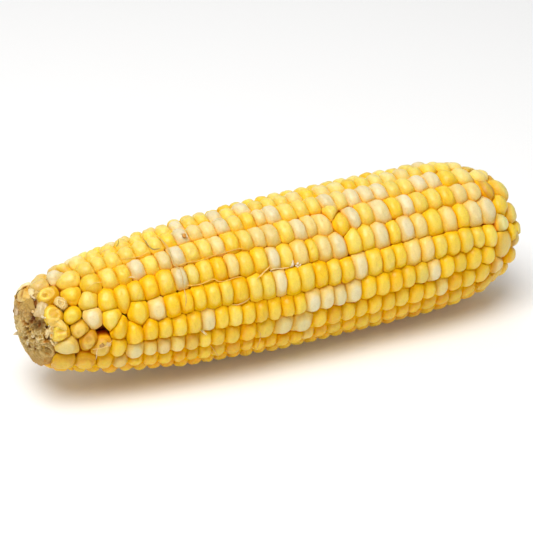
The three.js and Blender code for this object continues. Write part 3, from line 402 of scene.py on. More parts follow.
def kernel_mesh(i):
    """Vertices (metres), faces, and per-vertex dome position for kernel i."""
    k = K[i]
    r = k["rng"]
    d, t, tf = cell(i)
    sort = k["sort"]
    t, tf = t - 0.014, tf - 0.006
    a, b = t[[0, NT // 2]].mean(), t[[NT // 4, 3 * NT // 4]].mean()         # half length, half width
    m = 4.8 + r.normal(0, 0.5)
    c2, s2 = d[:, 0] ** 2, d[:, 1] ** 2
    swell = (0.28 * min(a, 2.6) * c2 + 0.95 * s2) * (1 + r.normal(0, 0.12))   # how far the whole crown is bowed
    brim = (0.20 * min(a, 2.6) * c2 + 0.62 * s2) * (1 + r.normal(0, 0.10))    # how far it turns down at its edge
    if sort in ("husk", "fused"):
        swell, brim = swell * 0.7, brim * 0.45
    rise = r.normal(0, 0.13) + sum(up * math.exp(-((k["x"] - x0) / sx) ** 2 - (((k["phi"] - p0 + 180) % 360 - 180) / sp) ** 2)
                                   for x0, p0, sx, sp, up in BULGES)
    tilt_s, tilt_v = r.normal(0, 0.035), r.normal(0, 0.025)
    wob = [(r.normal(0, 1), r.normal(0, 1), r.uniform(0, 6.28), w) for w in (2.4, 1.9, 1.3, 0.9)]
    # soft dents in the crown: where, how wide, how deep
    dents = [(r.normal(0, 0.34) * a, r.normal(0, 0.42) * b, r.uniform(0.24, 0.5) * a, r.uniform(0.22, 0.45) * a, r.uniform(0.04, 0.17), r.uniform(0, 3.14))
             for _ in range(5)]
    # and a few shallow wrinkles that cross it
    dents += [(r.normal(0, 0.2) * a, r.uniform(-0.62, 0.62) * b, r.uniform(0.35, 0.8) * a, r.uniform(0.05, 0.10) * b, r.uniform(0.015, 0.06), r.normal(0, 0.35)) for _ in range(5)]

    # dome rings, then flank rings
    rho = np.concatenate([RHO, np.ones(len(WALLS))])
    drop = np.concatenate([RHO ** m, np.ones(len(WALLS))])
    bow = np.concatenate([RHO ** 2, np.ones(len(WALLS))])
    wall = np.concatenate([np.zeros(RINGS), WALLS])
    fill = smooth(0.0, 0.75, wall)[:, None]                                  # the corners fill out down the flank
    T = t[None, :] * (1 - fill) + tf[None, :] * fill
    U = rho[:, None] * T * d[:, 0][None, :]
    V = rho[:, None] * T * d[:, 1][None, :]
    H = -(bow[:, None] * swell[None, :] + drop[:, None] * brim[None, :] + wall[:, None])
    shrink = 1 - 0.022 * wall[:, None] / 2
    U = U * np.where(wall[:, None] > 0, shrink, 1)
    # centre vertex
    U = np.concatenate([[[0] * NT], U]); V = np.concatenate([[[0] * NT], V]); H = np.concatenate([np.zeros((1, NT)), H])
    w = np.concatenate([[0], wall])
    live = (w == 0)[:, None] * (1 - np.concatenate([[0], rho])[:, None] ** 6)
    surf = tilt_s * U + tilt_v * V + rise
    for gx, gy, ph, wl in wob:
        q = math.hypot(gx, gy) + 1e-6
        surf = surf + 0.016 * wl * np.sin(2 * math.pi / (wl * 1.5) * (U * gx / q + V * gy / q * 0.8) + ph) * live
    for du, dv, wu, wv, dd, an in dents:
        pu, pv = (U - du) * math.cos(an) + (V - dv) * math.sin(an), (V - dv) * math.cos(an) - (U - du) * math.sin(an)
        surf = surf - dd * np.exp(-((pu / wu) ** 2 + (pv / wv) ** 2)) * live
    H = H + surf
    extra = np.zeros_like(H)
    for hu, hv, ru, rv, deep, stain, pw in k.get("hollows", []):
        e = np.hypot((U - hu * a) / (ru * a), (V - hv * b) / (rv * b))
        well = np.exp(-(e ** pw))
        H = H - deep * well * live
        extra = np.maximum(extra, stain * well)
    s = KS[i] + U
    _, rc, _, _ = profile(np.full_like(U, KS[i]))
    phi = KP[i] + V / rc
    P = place(s, phi, H)
    n_ring = len(rho)
    verts = np.concatenate([P[0, :1], P[1:].reshape(-1, 3), P[-1].mean(0)[None]])
    # past 1 this runs down the flank, where it sets how much painted crease glow and shade a point takes
    rho_v = np.concatenate([[0], np.repeat(np.concatenate([RHO, 1 + WALLS]), NT), [1 + WALLS[-1]]])
    rho_v = np.where(rho_v > 1, 1 + (rho_v - 1) * (0.45 + 0.55 * float(smooth(-68, -58, k["x"]))) * (0.45 if sort in ("fused", "glassy") else 1.0), rho_v)
    ex_v = np.concatenate([extra[0, :1], extra[1:].reshape(-1), [0]])
    F = []
    idx = lambda q, j: 1 + q * NT + (j % NT)
    for j in range(NT):
        F.append((0, idx(0, j), idx(0, j + 1)))
    for q in range(n_ring - 1):
        for j in range(NT):
            F.append((idx(q, j), idx(q + 1, j), idx(q + 1, j + 1), idx(q, j + 1)))
    last = len(verts) - 1
    for j in range(NT):
        F.append((last, idx(n_ring - 1, j + 1), idx(n_ring - 1, j)))
    return verts, F, rho_v, ex_v


def link(o):
    SC.collection.objects.link(o)
    return o


def mesh_object(name, verts, faces, mat, smooth_shade=True):
    me = bpy.data.meshes.new(name)
    me.from_pydata([tuple(v) for v in verts], [], faces)
    me.update()
    if smooth_shade:
        me.polygons.foreach_set("use_smooth", [True] * len(me.polygons))
    me.materials.append(mat)
    return link(bpy.data.objects.new(name, me))


def attr(me, name, kind, data):
    a = me.attributes.new(name, kind, "POINT")
    a.data.foreach_set("color" if kind == "FLOAT_COLOR" else "value", np.asarray(data, np.float32).ravel())


# ---------------------------------------------------------------- materials
def nodes_of(name):
    m = bpy.data.materials.new(name)
    m.use_nodes = True
    nt = m.node_tree
    nt.nodes.clear()
    out = nt.nodes.new("ShaderNodeOutputMaterial")
    p = nt.nodes.new("ShaderNodeBsdfPrincipled")
    nt.links.new(p.outputs[0], out.inputs[0])
    return m, nt, p


def add(nt, kind, **kw):
    n = nt.nodes.new(kind)
    for k, v in kw.items():
        if k.startswith("in_"):
            key = k[3:]
            n.inputs[int(key) if key.isdigit() else key].default_value = v
        else:
            setattr(n, k, v)
    return n


def kernel_material():
    m, nt, p = nodes_of("kernel_skin")
    L = nt.links.new
    top = add(nt, "ShaderNodeAttribute", attribute_name="k_top")
    low = add(nt, "ShaderNodeAttribute", attribute_name="k_low")
    rho = add(nt, "ShaderNodeAttribute", attribute_name="k_rho")
    hol = add(nt, "ShaderNodeAttribute", attribute_name="k_hollow")
    co = add(nt, "ShaderNodeTexCoord")
    # flank: crown colour gives way to the deeper one towards the crease; the paler crown is a painted soft highlight,
    # the deeper flank painted shade
    ramp = add(nt, "ShaderNodeMapRange", interpolation_type="SMOOTHSTEP", in_1=0.55, in_2=1.0, in_3=0.0, in_4=1.0)
    L(rho.outputs["Fac"], ramp.inputs[0])
    mott = add(nt, "ShaderNodeTexNoise", in_Scale=520.0, in_Detail=3.0, in_Roughness=0.55)
    L(co.outputs["Object"], mott.inputs["Vector"])
    sm = add(nt, "ShaderNodeMath", operation="MULTIPLY_ADD")
    L(mott.outputs["Fac"], sm.inputs[0]); sm.inputs[1].default_value = 0.5; sm.inputs[2].default_value = -0.25
    ad = add(nt, "ShaderNodeMath", operation="ADD", use_clamp=True)
    L(ramp.outputs[0], ad.inputs[0]); L(sm.outputs[0], ad.inputs[1])
    mx = add(nt, "ShaderNodeMix", data_type="RGBA")
    L(ad.outputs[0], mx.inputs["Factor"]); L(top.outputs["Color"], mx.inputs["A"]); L(low.outputs["Color"], mx.inputs["B"])
    # deep in the crease a saturated orange, a painted glow of light through the kernels into the shaded crease; and in
    # a hollow the flank colour
    deep = add(nt, "ShaderNodeMapRange", interpolation_type="SMOOTHSTEP", in_1=0.97, in_2=1.9, in_3=0.0, in_4=1.0)
    L(rho.outputs["Fac"], deep.inputs[0])
    mx2 = add(nt, "ShaderNodeMix", data_type="RGBA")
    L(deep.outputs[0], mx2.inputs["Factor"]); L(mx.outputs["Result"], mx2.inputs["A"])
    crease = add(nt, "ShaderNodeMix", data_type="RGBA", in_0=0.70)
    L(low.outputs["Color"], crease.inputs["A"])
    crease.inputs["B"].default_value = (*lin(252, 188, 16), 1)
    L(crease.outputs["Result"], mx2.inputs["B"])
    # further down the flank a deeper orange, more of the painted crease glow and shade
    deeper = add(nt, "ShaderNodeMapRange", interpolation_type="SMOOTHSTEP", in_1=1.5, in_2=3.6, in_3=0.0, in_4=1.0)
    L(rho.outputs["Fac"], deeper.inputs[0])
    mx4 = add(nt, "ShaderNodeMix", data_type="RGBA")
    L(deeper.outputs[0], mx4.inputs["Factor"]); L(mx2.outputs["Result"], mx4.inputs["A"])
    # woodier down at the butt, where the kernels sit on the shank
    sx_ = add(nt, "ShaderNodeSeparateXYZ")
    L(co.outputs["Object"], sx_.inputs[0])
    wood = add(nt, "ShaderNodeMapRange", interpolation_type="SMOOTHSTEP", in_1=0.0770, in_2=0.0805, in_3=0.0, in_4=1.0)
    L(sx_.outputs["X"], wood.inputs[0])
    mx5 = add(nt, "ShaderNodeMix", data_type="RGBA")
    L(wood.outputs[0], mx5.inputs["Factor"])
    # the deep orange is painted crease glow; at the butt it gives way to the shank's own woody brown
    mx5.inputs["A"].default_value = (*lin(250, 140, 6), 1)
    mx5.inputs["B"].default_value = (*lin(212, 158, 62), 1)
    L(mx5.outputs["Result"], mx4.inputs["B"])
    mx3 = add(nt, "ShaderNodeMix", data_type="RGBA")
    L(hol.outputs["Fac"], mx3.inputs["Factor"]); L(mx4.outputs["Result"], mx3.inputs["A"]); L(low.outputs["Color"], mx3.inputs["B"])
    # fine streaks that run round the ear, from the crown of a kernel down its sides
    sv = add(nt, "ShaderNodeVectorMath", operation="MULTIPLY", in_1=(1900.0, 240.0, 240.0))
    L(co.outputs["Object"], sv.inputs[0])
    stk = add(nt, "ShaderNodeTexNoise", in_Scale=1.0, in_Detail=2.0, in_Roughness=0.55)
    L(sv.outputs[0], stk.inputs["Vector"])
    # fine speckle of the skin
    fine = add(nt, "ShaderNodeTexNoise", in_Scale=1900.0, in_Detail=2.0, in_Roughness=0.5)
    L(co.outputs["Object"], fine.inputs["Vector"])
    fr = add(nt, "ShaderNodeMapRange", in_1=0.3, in_2=0.7, in_3=0.955, in_4=1.04)
    L(fine.outputs["Fac"], fr.inputs[0])
    mul = add(nt, "ShaderNodeMix", data_type="RGBA", blend_type="MULTIPLY", in_0=1.0)
    sr = add(nt, "ShaderNodeMapRange", in_1=0.3, in_2=0.7, in_3=0.975, in_4=1.02)
    L(stk.outputs["Fac"], sr.inputs[0])
    fs = add(nt, "ShaderNodeMath", operation="MULTIPLY")
    L(fr.outputs[0], fs.inputs[0]); L(sr.outputs[0], fs.inputs[1])
    L(mx3.outputs["Result"], mul.inputs["A"]); L(fs.outputs[0], mul.inputs["B"])
    L(mul.outputs["Result"], p.inputs["Base Color"])
    rr = add(nt, "ShaderNodeMapRange", in_1=0.25, in_2=0.75, in_3=0.34, in_4=0.50)
    L(mott.outputs["Fac"], rr.inputs[0]); L(rr.outputs[0], p.inputs["Roughness"])
    dull = add(nt, "ShaderNodeMapRange", interpolation_type="SMOOTHSTEP", in_1=0.85, in_2=1.3, in_3=0.36, in_4=0.04)
    L(rho.outputs["Fac"], dull.inputs[0])
    L(dull.outputs[0], p.inputs["Specular IOR Level"])
    p.inputs["Subsurface Weight"].default_value = 1.0
    p.inputs["Subsurface Scale"].default_value = 0.0012
    # pale kernels let blue through as well, yellow ones don't
    sep = add(nt, "ShaderNodeSeparateColor")
    L(top.outputs["Color"], sep.inputs[0])
    wh = add(nt, "ShaderNodeMapRange", in_1=0.10, in_2=0.34, in_3=0.16, in_4=0.55)
    L(sep.outputs[2], wh.inputs[0])
    rad = add(nt, "ShaderNodeCombineXYZ", in_0=1.0, in_1=0.80)
    L(wh.outputs[0], rad.inputs[2])
    L(rad.outputs[0], p.inputs["Subsurface Radius"])
    coat = add(nt, "ShaderNodeMapRange", interpolation_type="SMOOTHSTEP", in_1=0.85, in_2=1.2, in_3=0.24, in_4=0.0)
    L(rho.outputs["Fac"], coat.inputs[0])
    L(coat.outputs[0], p.inputs["Coat Weight"])
    p.inputs["Coat Roughness"].default_value = 0.30
    bn = add(nt, "ShaderNodeBump", in_Strength=0.5, in_Distance=0.00022)
    b1 = add(nt, "ShaderNodeTexNoise", in_Scale=900.0, in_Detail=4.0, in_Roughness=0.6)
    ba = add(nt, "ShaderNodeMath", operation="MULTIPLY_ADD")
    L(co.outputs["Object"], b1.inputs["Vector"]); L(stk.outputs["Fac"], ba.inputs[0]); ba.inputs[1].default_value = 0.45
    L(b1.outputs["Fac"], ba.inputs[2]); L(ba.outputs[0], bn.inputs["Height"])
    L(bn.outputs[0], p.inputs["Normal"])
    return m


def cob_material():
    m, nt, p = nodes_of("cob_pith")
    L = nt.links.new
    co = add(nt, "ShaderNodeTexCoord")
    tint = add(nt, "ShaderNodeAttribute", attribute_name="tint")
    n1 = add(nt, "ShaderNodeTexNoise", in_Scale=1500.0, in_Detail=5.0, in_Roughness=0.65)
    L(co.outputs["Object"], n1.inputs["Vector"])
    mr = add(nt, "ShaderNodeMapRange", in_1=0.25, in_2=0.75, in_3=0.74, in_4=1.22)
    L(n1.outputs["Fac"], mr.inputs[0])
    mul = add(nt, "ShaderNodeMix", data_type="RGBA", blend_type="MULTIPLY", in_0=1.0)
    L(tint.outputs["Color"], mul.inputs["A"]); L(mr.outputs[0], mul.inputs["B"])
    L(mul.outputs["Result"], p.inputs["Base Color"])
    p.inputs["Roughness"].default_value = 0.72
    p.inputs["Specular IOR Level"].default_value = 0.35
    p.inputs["Subsurface Weight"].default_value = 0.25
    p.inputs["Subsurface Radius"].default_value = (1.0, 0.7, 0.4)
    p.inputs["Subsurface Scale"].default_value = 0.0006
    bn = add(nt, "ShaderNodeBump", in_Strength=0.6, in_Distance=0.0003)
    n2 = add(nt, "ShaderNodeTexNoise", in_Scale=2200.0, in_Detail=5.0, in_Roughness=0.7)
    L(co.outputs["Object"], n2.inputs["Vector"]); L(n2.outputs["Fac"], bn.inputs["Height"]); L(bn.outputs[0], p.inputs["Normal"])
    return m


def floor_material():
    m, nt, p = nodes_of("floor")
    p.inputs["Emission Color"].default_value = (1, 1, 1, 1)
    p.inputs["Emission Strength"].default_value = 0.05
    L = nt.links.new
    co = add(nt, "ShaderNodeTexCoord")
    n1 = add(nt, "ShaderNodeTexNoise", in_Scale=3.0, in_Detail=2.0)
    L(co.outputs["Object"], n1.inputs["Vector"])
    mr = add(nt, "ShaderNodeMapRange", in_3=0.93, in_4=0.95)
    L(n1.outputs["Fac"], mr.inputs[0])
    cc = add(nt, "ShaderNodeCombineColor")
    for q in range(3):
        L(mr.outputs[0], cc.inputs[q])
    L(cc.outputs[0], p.inputs["Base Color"])
    p.inputs["Roughness"].default_value = 0.9
    return m


def chaff_material():
    m, nt, p = nodes_of("chaff_and_silk")
    L = nt.links.new
    co = add(nt, "ShaderNodeTexCoord")
    tint = add(nt, "ShaderNodeAttribute", attribute_name="tint")
    n1 = add(nt, "ShaderNodeTexNoise", in_Scale=1100.0, in_Detail=3.0, in_Roughness=0.6)
    L(co.outputs["Object"], n1.inputs["Vector"])
    mr = add(nt, "ShaderNodeMapRange", in_1=0.25, in_2=0.75, in_3=0.80, in_4=1.12)
    L(n1.outputs["Fac"], mr.inputs[0])
    mul = add(nt, "ShaderNodeMix", data_type="RGBA", blend_type="MULTIPLY", in_0=1.0)
    L(tint.outputs["Color"], mul.inputs["A"]); L(mr.outputs[0], mul.inputs["B"])
    L(mul.outputs["Result"], p.inputs["Base Color"])
    p.inputs["Roughness"].default_value = 0.5
    p.inputs["Subsurface Weight"].default_value = 0.35
    p.inputs["Subsurface Radius"].default_value = (1.0, 0.9, 0.6)
    p.inputs["Subsurface Scale"].default_value = 0.0005
    return m


M_KERNEL, M_COB, M_FLOOR, M_CHAFF = kernel_material(), cob_material(), floor_material(), chaff_material()

# ---------------------------------------------------------------- build the rows
for row in range(18):
    VV, FF, TOP, LOW, RR, EX = [], [], [], [], [], []
    base = 0
    for i, k in enumerate(K):
        if k["row"] != row or k["sort"] == "void":
            continue
        v, f, rh, ex = kernel_mesh(i)
        VV.append(v)
        FF.extend([tuple(base + q for q in face) for face in f])
        base += len(v)
        TOP.append(np.tile(np.append(k["top"], 1), (len(v), 1))); LOW.append(np.tile(np.append(k["low"], 1), (len(v), 1)))
        RR.append(rh); EX.append(ex)
    o = mesh_object(f"kernels_{row + 1:02d}", np.concatenate(VV), FF, M_KERNEL)
    attr(o.data, "k_top", "FLOAT_COLOR", np.concatenate(TOP))
    attr(o.data, "k_low", "FLOAT_COLOR", np.concatenate(LOW))
    attr(o.data, "k_rho", "FLOAT", np.concatenate(RR))
    attr(o.data, "k_hollow", "FLOAT", np.concatenate(EX))
    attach(o, "root")
    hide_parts(f"kernel_row_{row + 1:02d}")

# ---------------------------------------------------------------- the cob
_perm = np.random.default_rng(91).permutation(256)
_grad = np.random.default_rng(92).normal(size=(256, 3))
_grad /= np.linalg.norm(_grad, axis=1)[:, None]


def noise3(P):
    """Smooth gradient noise, about -1..1, at points P (n, 3)."""
    i = np.floor(P).astype(int)
    f = P - i
    u = f * f * f * (f * (f * 6 - 15) + 10)
    out = np.zeros(len(P))
    for dx in (0, 1):
        for dy in (0, 1):
            for dz in (0, 1):
                h = _perm[(_perm[(_perm[(i[:, 0] + dx) & 255] + i[:, 1] + dy) & 255] + i[:, 2] + dz) & 255]
                w = (u[:, 0] if dx else 1 - u[:, 0]) * (u[:, 1] if dy else 1 - u[:, 1]) * (u[:, 2] if dz else 1 - u[:, 2])
                out += w * np.sum(_grad[h] * (f - np.array([dx, dy, dz])), 1)
    return out * 1.7


def fbm(P, octaves=4, gain=0.5):
    out, amp, tot = np.zeros(len(P)), 1.0, 0.0
    for o in range(octaves):
        out += amp * noise3(P * 2.03**o + 17.3 * o)
        tot += amp
        amp *= gain
    return out / tot


# profile of the bare cob: out from the middle of the broken tip, over its shoulder, along
# under the kernels and into the dished scar of the shank; station, radius
TIP_CURVE = [(-83.5, 0), (-83.3, 4.2), (-82.75, 8.2), (-81.7, 11.0), (-80.3, 12.25), (-78.5, 12.35), (-76.0, 12.0), (-72.0, 11.2)]
BUTT_CURVE = [(80.0, 12.6), (83.0, 11.8), (84.3, 10.7), (84.3, 6.6), (83.5, 5.2), (83.4, 0)]
TIP_SLANT = 0.06
TAN, TAN_PALE, TAN_DARK = lin(188, 153, 78), lin(234, 206, 140), lin(140, 96, 28)
# painted shade: the near-black brown of the deep pits, the dark brown of the caves and the brown of the broad hollow;
# the other tip colours are the tissue's own
PIT_SHADE, RUST, SAP = lin(98, 44, 4), lin(196, 132, 34), lin(222, 172, 56)
CAVE_SHADE, ROSE, HOLLOW_SHADE = lin(146, 84, 12), lin(192, 154, 92), lin(134, 102, 44)

# The eye point from which the ear is looked at, in the ear's own frame (mm).  The tip's pockets
# and scraps are set out by where they are sighted from there, in units of 1/1860 of a radian.
VIEW_AZ, VIEW_EL, VIEW_DIST, VIEW_F = math.radians(-25.87), math.radians(28.0), 600.0, 1860.0
VIEW_AT = np.array([-0.023, 0.0, 2.48])
VIEW_BACK = np.array([math.sin(VIEW_AZ) * math.cos(VIEW_EL), -math.cos(VIEW_AZ) * math.cos(VIEW_EL), math.sin(VIEW_EL)])
VIEW_EYE = VIEW_AT + VIEW_BACK * VIEW_DIST
VIEW_R = np.cross(-VIEW_BACK, [0, 0, 1.0]); VIEW_R /= np.linalg.norm(VIEW_R)
VIEW_U = np.cross(VIEW_R, -VIEW_BACK)


def sight(P):
    """Where points (n, 3), design frame about the axis, are sighted."""
    d = P - VIEW_EYE
    z = d @ (-VIEW_BACK)
    return 266.5 + VIEW_F * (d @ VIEW_R) / z, 266.5 - VIEW_F * (d @ VIEW_U) / z


def sight_line(a, b):
    d = -VIEW_BACK * VIEW_F + VIEW_R * (a - 266.5) + VIEW_U * (266.5 - b)
    return d / np.linalg.norm(d)


def spot(x, r, phi):
    """Point of the bare cob (mm) and the direction round it there."""
    a = math.radians(phi)
    return np.array([x, -r * math.cos(a), r * math.sin(a)]), np.array([0, math.sin(a), math.cos(a)])


# What the broken tip shows: kind, where it is sighted, half sizes, tilt (degrees), height or
# depth in mm, how sharp-edged, colour; the darkest colours, in the deepest pits, are painted shade.
FEATURES = [
    ("lump", 28.0, 303.0, 5.5, 4.2, 0, 0.45, 2.5, TAN),
    ("lump", 24.5, 313.0, 7.0, 5.6, 0, 0.50, 2.5, ROSE),
    ("lump", 22.0, 326.0, 3.0, 7.0, 5, 0.30, 2.5, TAN_PALE),
    ("lump", 31.5, 342.0, 3.0, 3.6, -20, 0.30, 2.5, TAN),
    ("lump", 35.5, 357.0, 6.0, 3.0, 35, 0.20, 2.5, TAN),
    ("pit", 38.0, 325.0, 6.6, 5.0, 0, 0.75, 3.0, HOLLOW_SHADE),
    ("pit", 36.0, 305.8, 1.4, 2.3, 0, 1.9, 3, PIT_SHADE),
    ("pit", 35.3, 301.6, 1.7, 3.0, 0, 0.9, 3, CAVE_SHADE),
    ("pit", 32.2, 318.0, 1.9, 2.5, 15, 1.3, 3, PIT_SHADE),
    ("pit", 30.0, 321.8, 1.7, 1.8, 0, 1.1, 3, CAVE_SHADE),
    ("pit", 31.3, 313.8, 1.3, 1.7, 0, 0.6, 3, TAN_DARK),
    ("ring", 27.2, 328.8, 1.7, 1.4, 0, 1.1, 3, CAVE_SHADE),
    ("ring", 29.2, 332.2, 1.8, 1.5, 0, 1.1, 3, CAVE_SHADE),
    ("pit", 24.0, 321.3, 1.3, 1.1, 0, 0.5, 3, RUST),
    ("pit", 27.0, 324.2, 1.1, 1.0, 0, 0.6, 3, CAVE_SHADE),
    ("pit", 24.8, 323.8, 0.9, 1.0, 0, 0.4, 3, RUST),
    ("pit", 38.5, 324.5, 0.9, 3.0, -15, 0.6, 3, CAVE_SHADE),
    ("pit", 34.5, 321.5, 1.6, 1.2, 20, 0.5, 3, TAN_DARK),
    ("pit", 47.3, 327.5, 1.1, 1.1, 0, 1.0, 3, PIT_SHADE),
    ("pit", 45.0, 322.5, 1.6, 1.0, 0, 0.5, 3, TAN_DARK),
    ("pit", 47.5, 338.5, 2.4, 2.0, 10, 2.3, 3, PIT_SHADE),
    ("pit", 45.0, 337.5, 1.1, 3.0, 25, 0.7, 3, SAP),
    ("pit", 46.8, 341.6, 2.6, 1.2, 0, 0.5, 3, RUST),
    ("pit", 53.8, 343.8, 1.8, 0.9, -40, 1.8, 3, PIT_SHADE),
    ("pit", 54.5, 348.0, 0.7, 3.0, 15, 0.6, 3, RUST),
    ("pit", 56.2, 352.6, 1.2, 1.7, 25, 1.0, 3, CAVE_SHADE),
    ("oval", 46.0, 351.3, 7.4, 4.3, -25, 0.8, 4, TAN),
    ("stain", 43.0, 348.5, 1.9, 1.5, 0, 0.0, 3, SAP),
    ("stain", 48.5, 349.6, 3.4, 1.0, -35, 0.25, 3, TAN_DARK),
    ("stain", 48.0, 355.2, 3.4, 0.55, -15, 0.15, 3, RUST),
    ("pit", 29.6, 346.2, 1.3, 1.8, 0, 0.5, 3, TAN_DARK),
    ("pit", 26.0, 338.0, 1.7, 1.6, 0, 0.4, 3, TAN_DARK),
    ("pit", 33.0, 337.6, 1.3, 1.3, 0, 0.5, 3, TAN_DARK),
    ("pit", 35.0, 348.5, 0.8, 2.1, 0, 0.3, 3, TAN_DARK),
    ("stain", 45.2, 361.5, 1.7, 1.1, 0, 0.0, 3, RUST),
    ("stain", 31.0, 345.0, 0.8, 0.8, 0, 0.0, 3, SAP),
    ("stain", 22.0, 337.0, 1.4, 1.0, 0, 0.0, 3, SAP),
    ("stain", 18.5, 301.5, 1.4, 4.0, 0, 0.0, 2, RUST),
]
# and round the side that lies away, the same sort of pockets, seeded: station, radius, angle
_fr = np.random.default_rng(414)
FAR = []
for _ in range(26):
    a_, r_ = _fr.uniform(120, 300), _fr.uniform(5, 12.0)
    x_ = float(np.interp(r_, [t[1] for t in TIP_CURVE[:5]], [t[0] for t in TIP_CURVE[:5]]))
    FAR.append((_fr.choice(["pit", "oval", "lump"], p=[0.45, 0.25, 0.3]), x_, r_, a_, _fr.uniform(0.6, 1.6), _fr.uniform(0.6, 1.6),
                _fr.uniform(0.4, 1.0), 3, [PIT_SHADE, CAVE_SHADE, TAN_DARK][_fr.integers(3)]))


def turned(curve, step, na, x_lean, bumps):
    """A closed body of revolution along the curve, roughened by bumps(P, q), with a colour for each point."""
    c = np.array(curve, float)
    q = np.concatenate([[0], np.cumsum(np.hypot(*np.diff(c, axis=0).T))])
    n = max(3, int(round(q[-1] / step)))
    qs = np.linspace(0, q[-1], n + 1)
    x, r = np.interp(qs, q, c[:, 0]), np.interp(qs, q, c[:, 1])
    kern = np.ones(5) / 5
    x, r = np.convolve(np.pad(x, 2, mode="edge"), kern, mode="valid"), np.maximum(np.convolve(np.pad(r, 2, mode="reflect", reflect_type="odd"), kern, mode="valid"), 0)
    first, last = r[0] < 0.3, r[-1] < 0.3
    lo, hi = (1 if first else 0), (len(x) - 1 if last else len(x))
    a = np.arange(na) / na * 2 * math.pi
    tx, tr = np.gradient(x, qs), np.gradient(r, qs)
    X = np.repeat(x[lo:hi], na); R = np.repeat(r[lo:hi], na); A = np.tile(a, hi - lo)
    NX, NR = np.repeat(-tr[lo:hi], na), np.repeat(tx[lo:hi], na)
    ln = np.hypot(NX, NR) + 1e-9
    NX, NR = NX / ln, NR / ln
    if x[-1] < x[0]:
        NX, NR = -NX, -NR
    P = np.stack([X, -R * np.cos(A), R * np.sin(A)], 1)
    P = np.concatenate([P, [[x[0], 0, 0], [x[-1], 0, 0]]])
    Nn = np.stack([NX, -NR * np.cos(A), NR * np.sin(A)], 1)
    Nn = np.concatenate([Nn, [[-1, 0, 0], [1, 0, 0]]])
    P[:, 0] += np.where(P[:, 0] < x_lean, -TIP_SLANT * P[:, 2] * smooth(x_lean, x_lean - 2.0, P[:, 0]), 0)
    h, col = bumps(P, Nn)
    P = P + Nn * h[:, None]
    m = hi - lo
    F = [(i * na + j, (i + 1) * na + j, (i + 1) * na + (j + 1) % na, i * na + (j + 1) % na) for i in range(m - 1) for j in range(na)]
    F += [(m * na, j, (j + 1) % na) for j in range(na)]
    F += [(m * na + 1, (m - 1) * na + (j + 1) % na, (m - 1) * na + j) for j in range(na)]
    V = np.stack([P[:, 0] - ORIGIN_X, P[:, 1], np.maximum(AXIS_Z + P[:, 2], 0.02)], 1) * MM
    return V, F, col


def mix1(a, b, w):
    return np.asarray(a) * (1 - w) + np.asarray(b) * w


def mixc(col, other, w):
    return col * (1 - w[:, None]) + np.asarray(other)[None, :] * w[:, None]


def cells3(P, size, seed):
    """Nearest and second nearest of a jittered set of points, size apart, and a random number for the nearest one."""
    g = P / size
    c = np.floor(g).astype(int)
    best, second, tag = np.full(len(P), 9.0), np.full(len(P), 9.0), np.zeros(len(P))
    r = np.random.default_rng(seed)
    jit, tags = r.uniform(0.1, 0.9, (4096, 3)), r.uniform(0, 1, 4096)
    for dx in (-1, 0, 1):
        for dy in (-1, 0, 1):
            for dz in (-1, 0, 1):
                q = c + np.array([dx, dy, dz])
                h = (q[:, 0] * 73 + q[:, 1] * 1259 + q[:, 2] * 3571) & 4095
                d = np.linalg.norm(q + jit[h] - g, axis=1)
                near = d < best
                second = np.where(near, best, np.minimum(second, d))
                tag = np.where(near, tags[h], tag)
                best = np.where(near, d, best)
    return best * size, second * size, tag


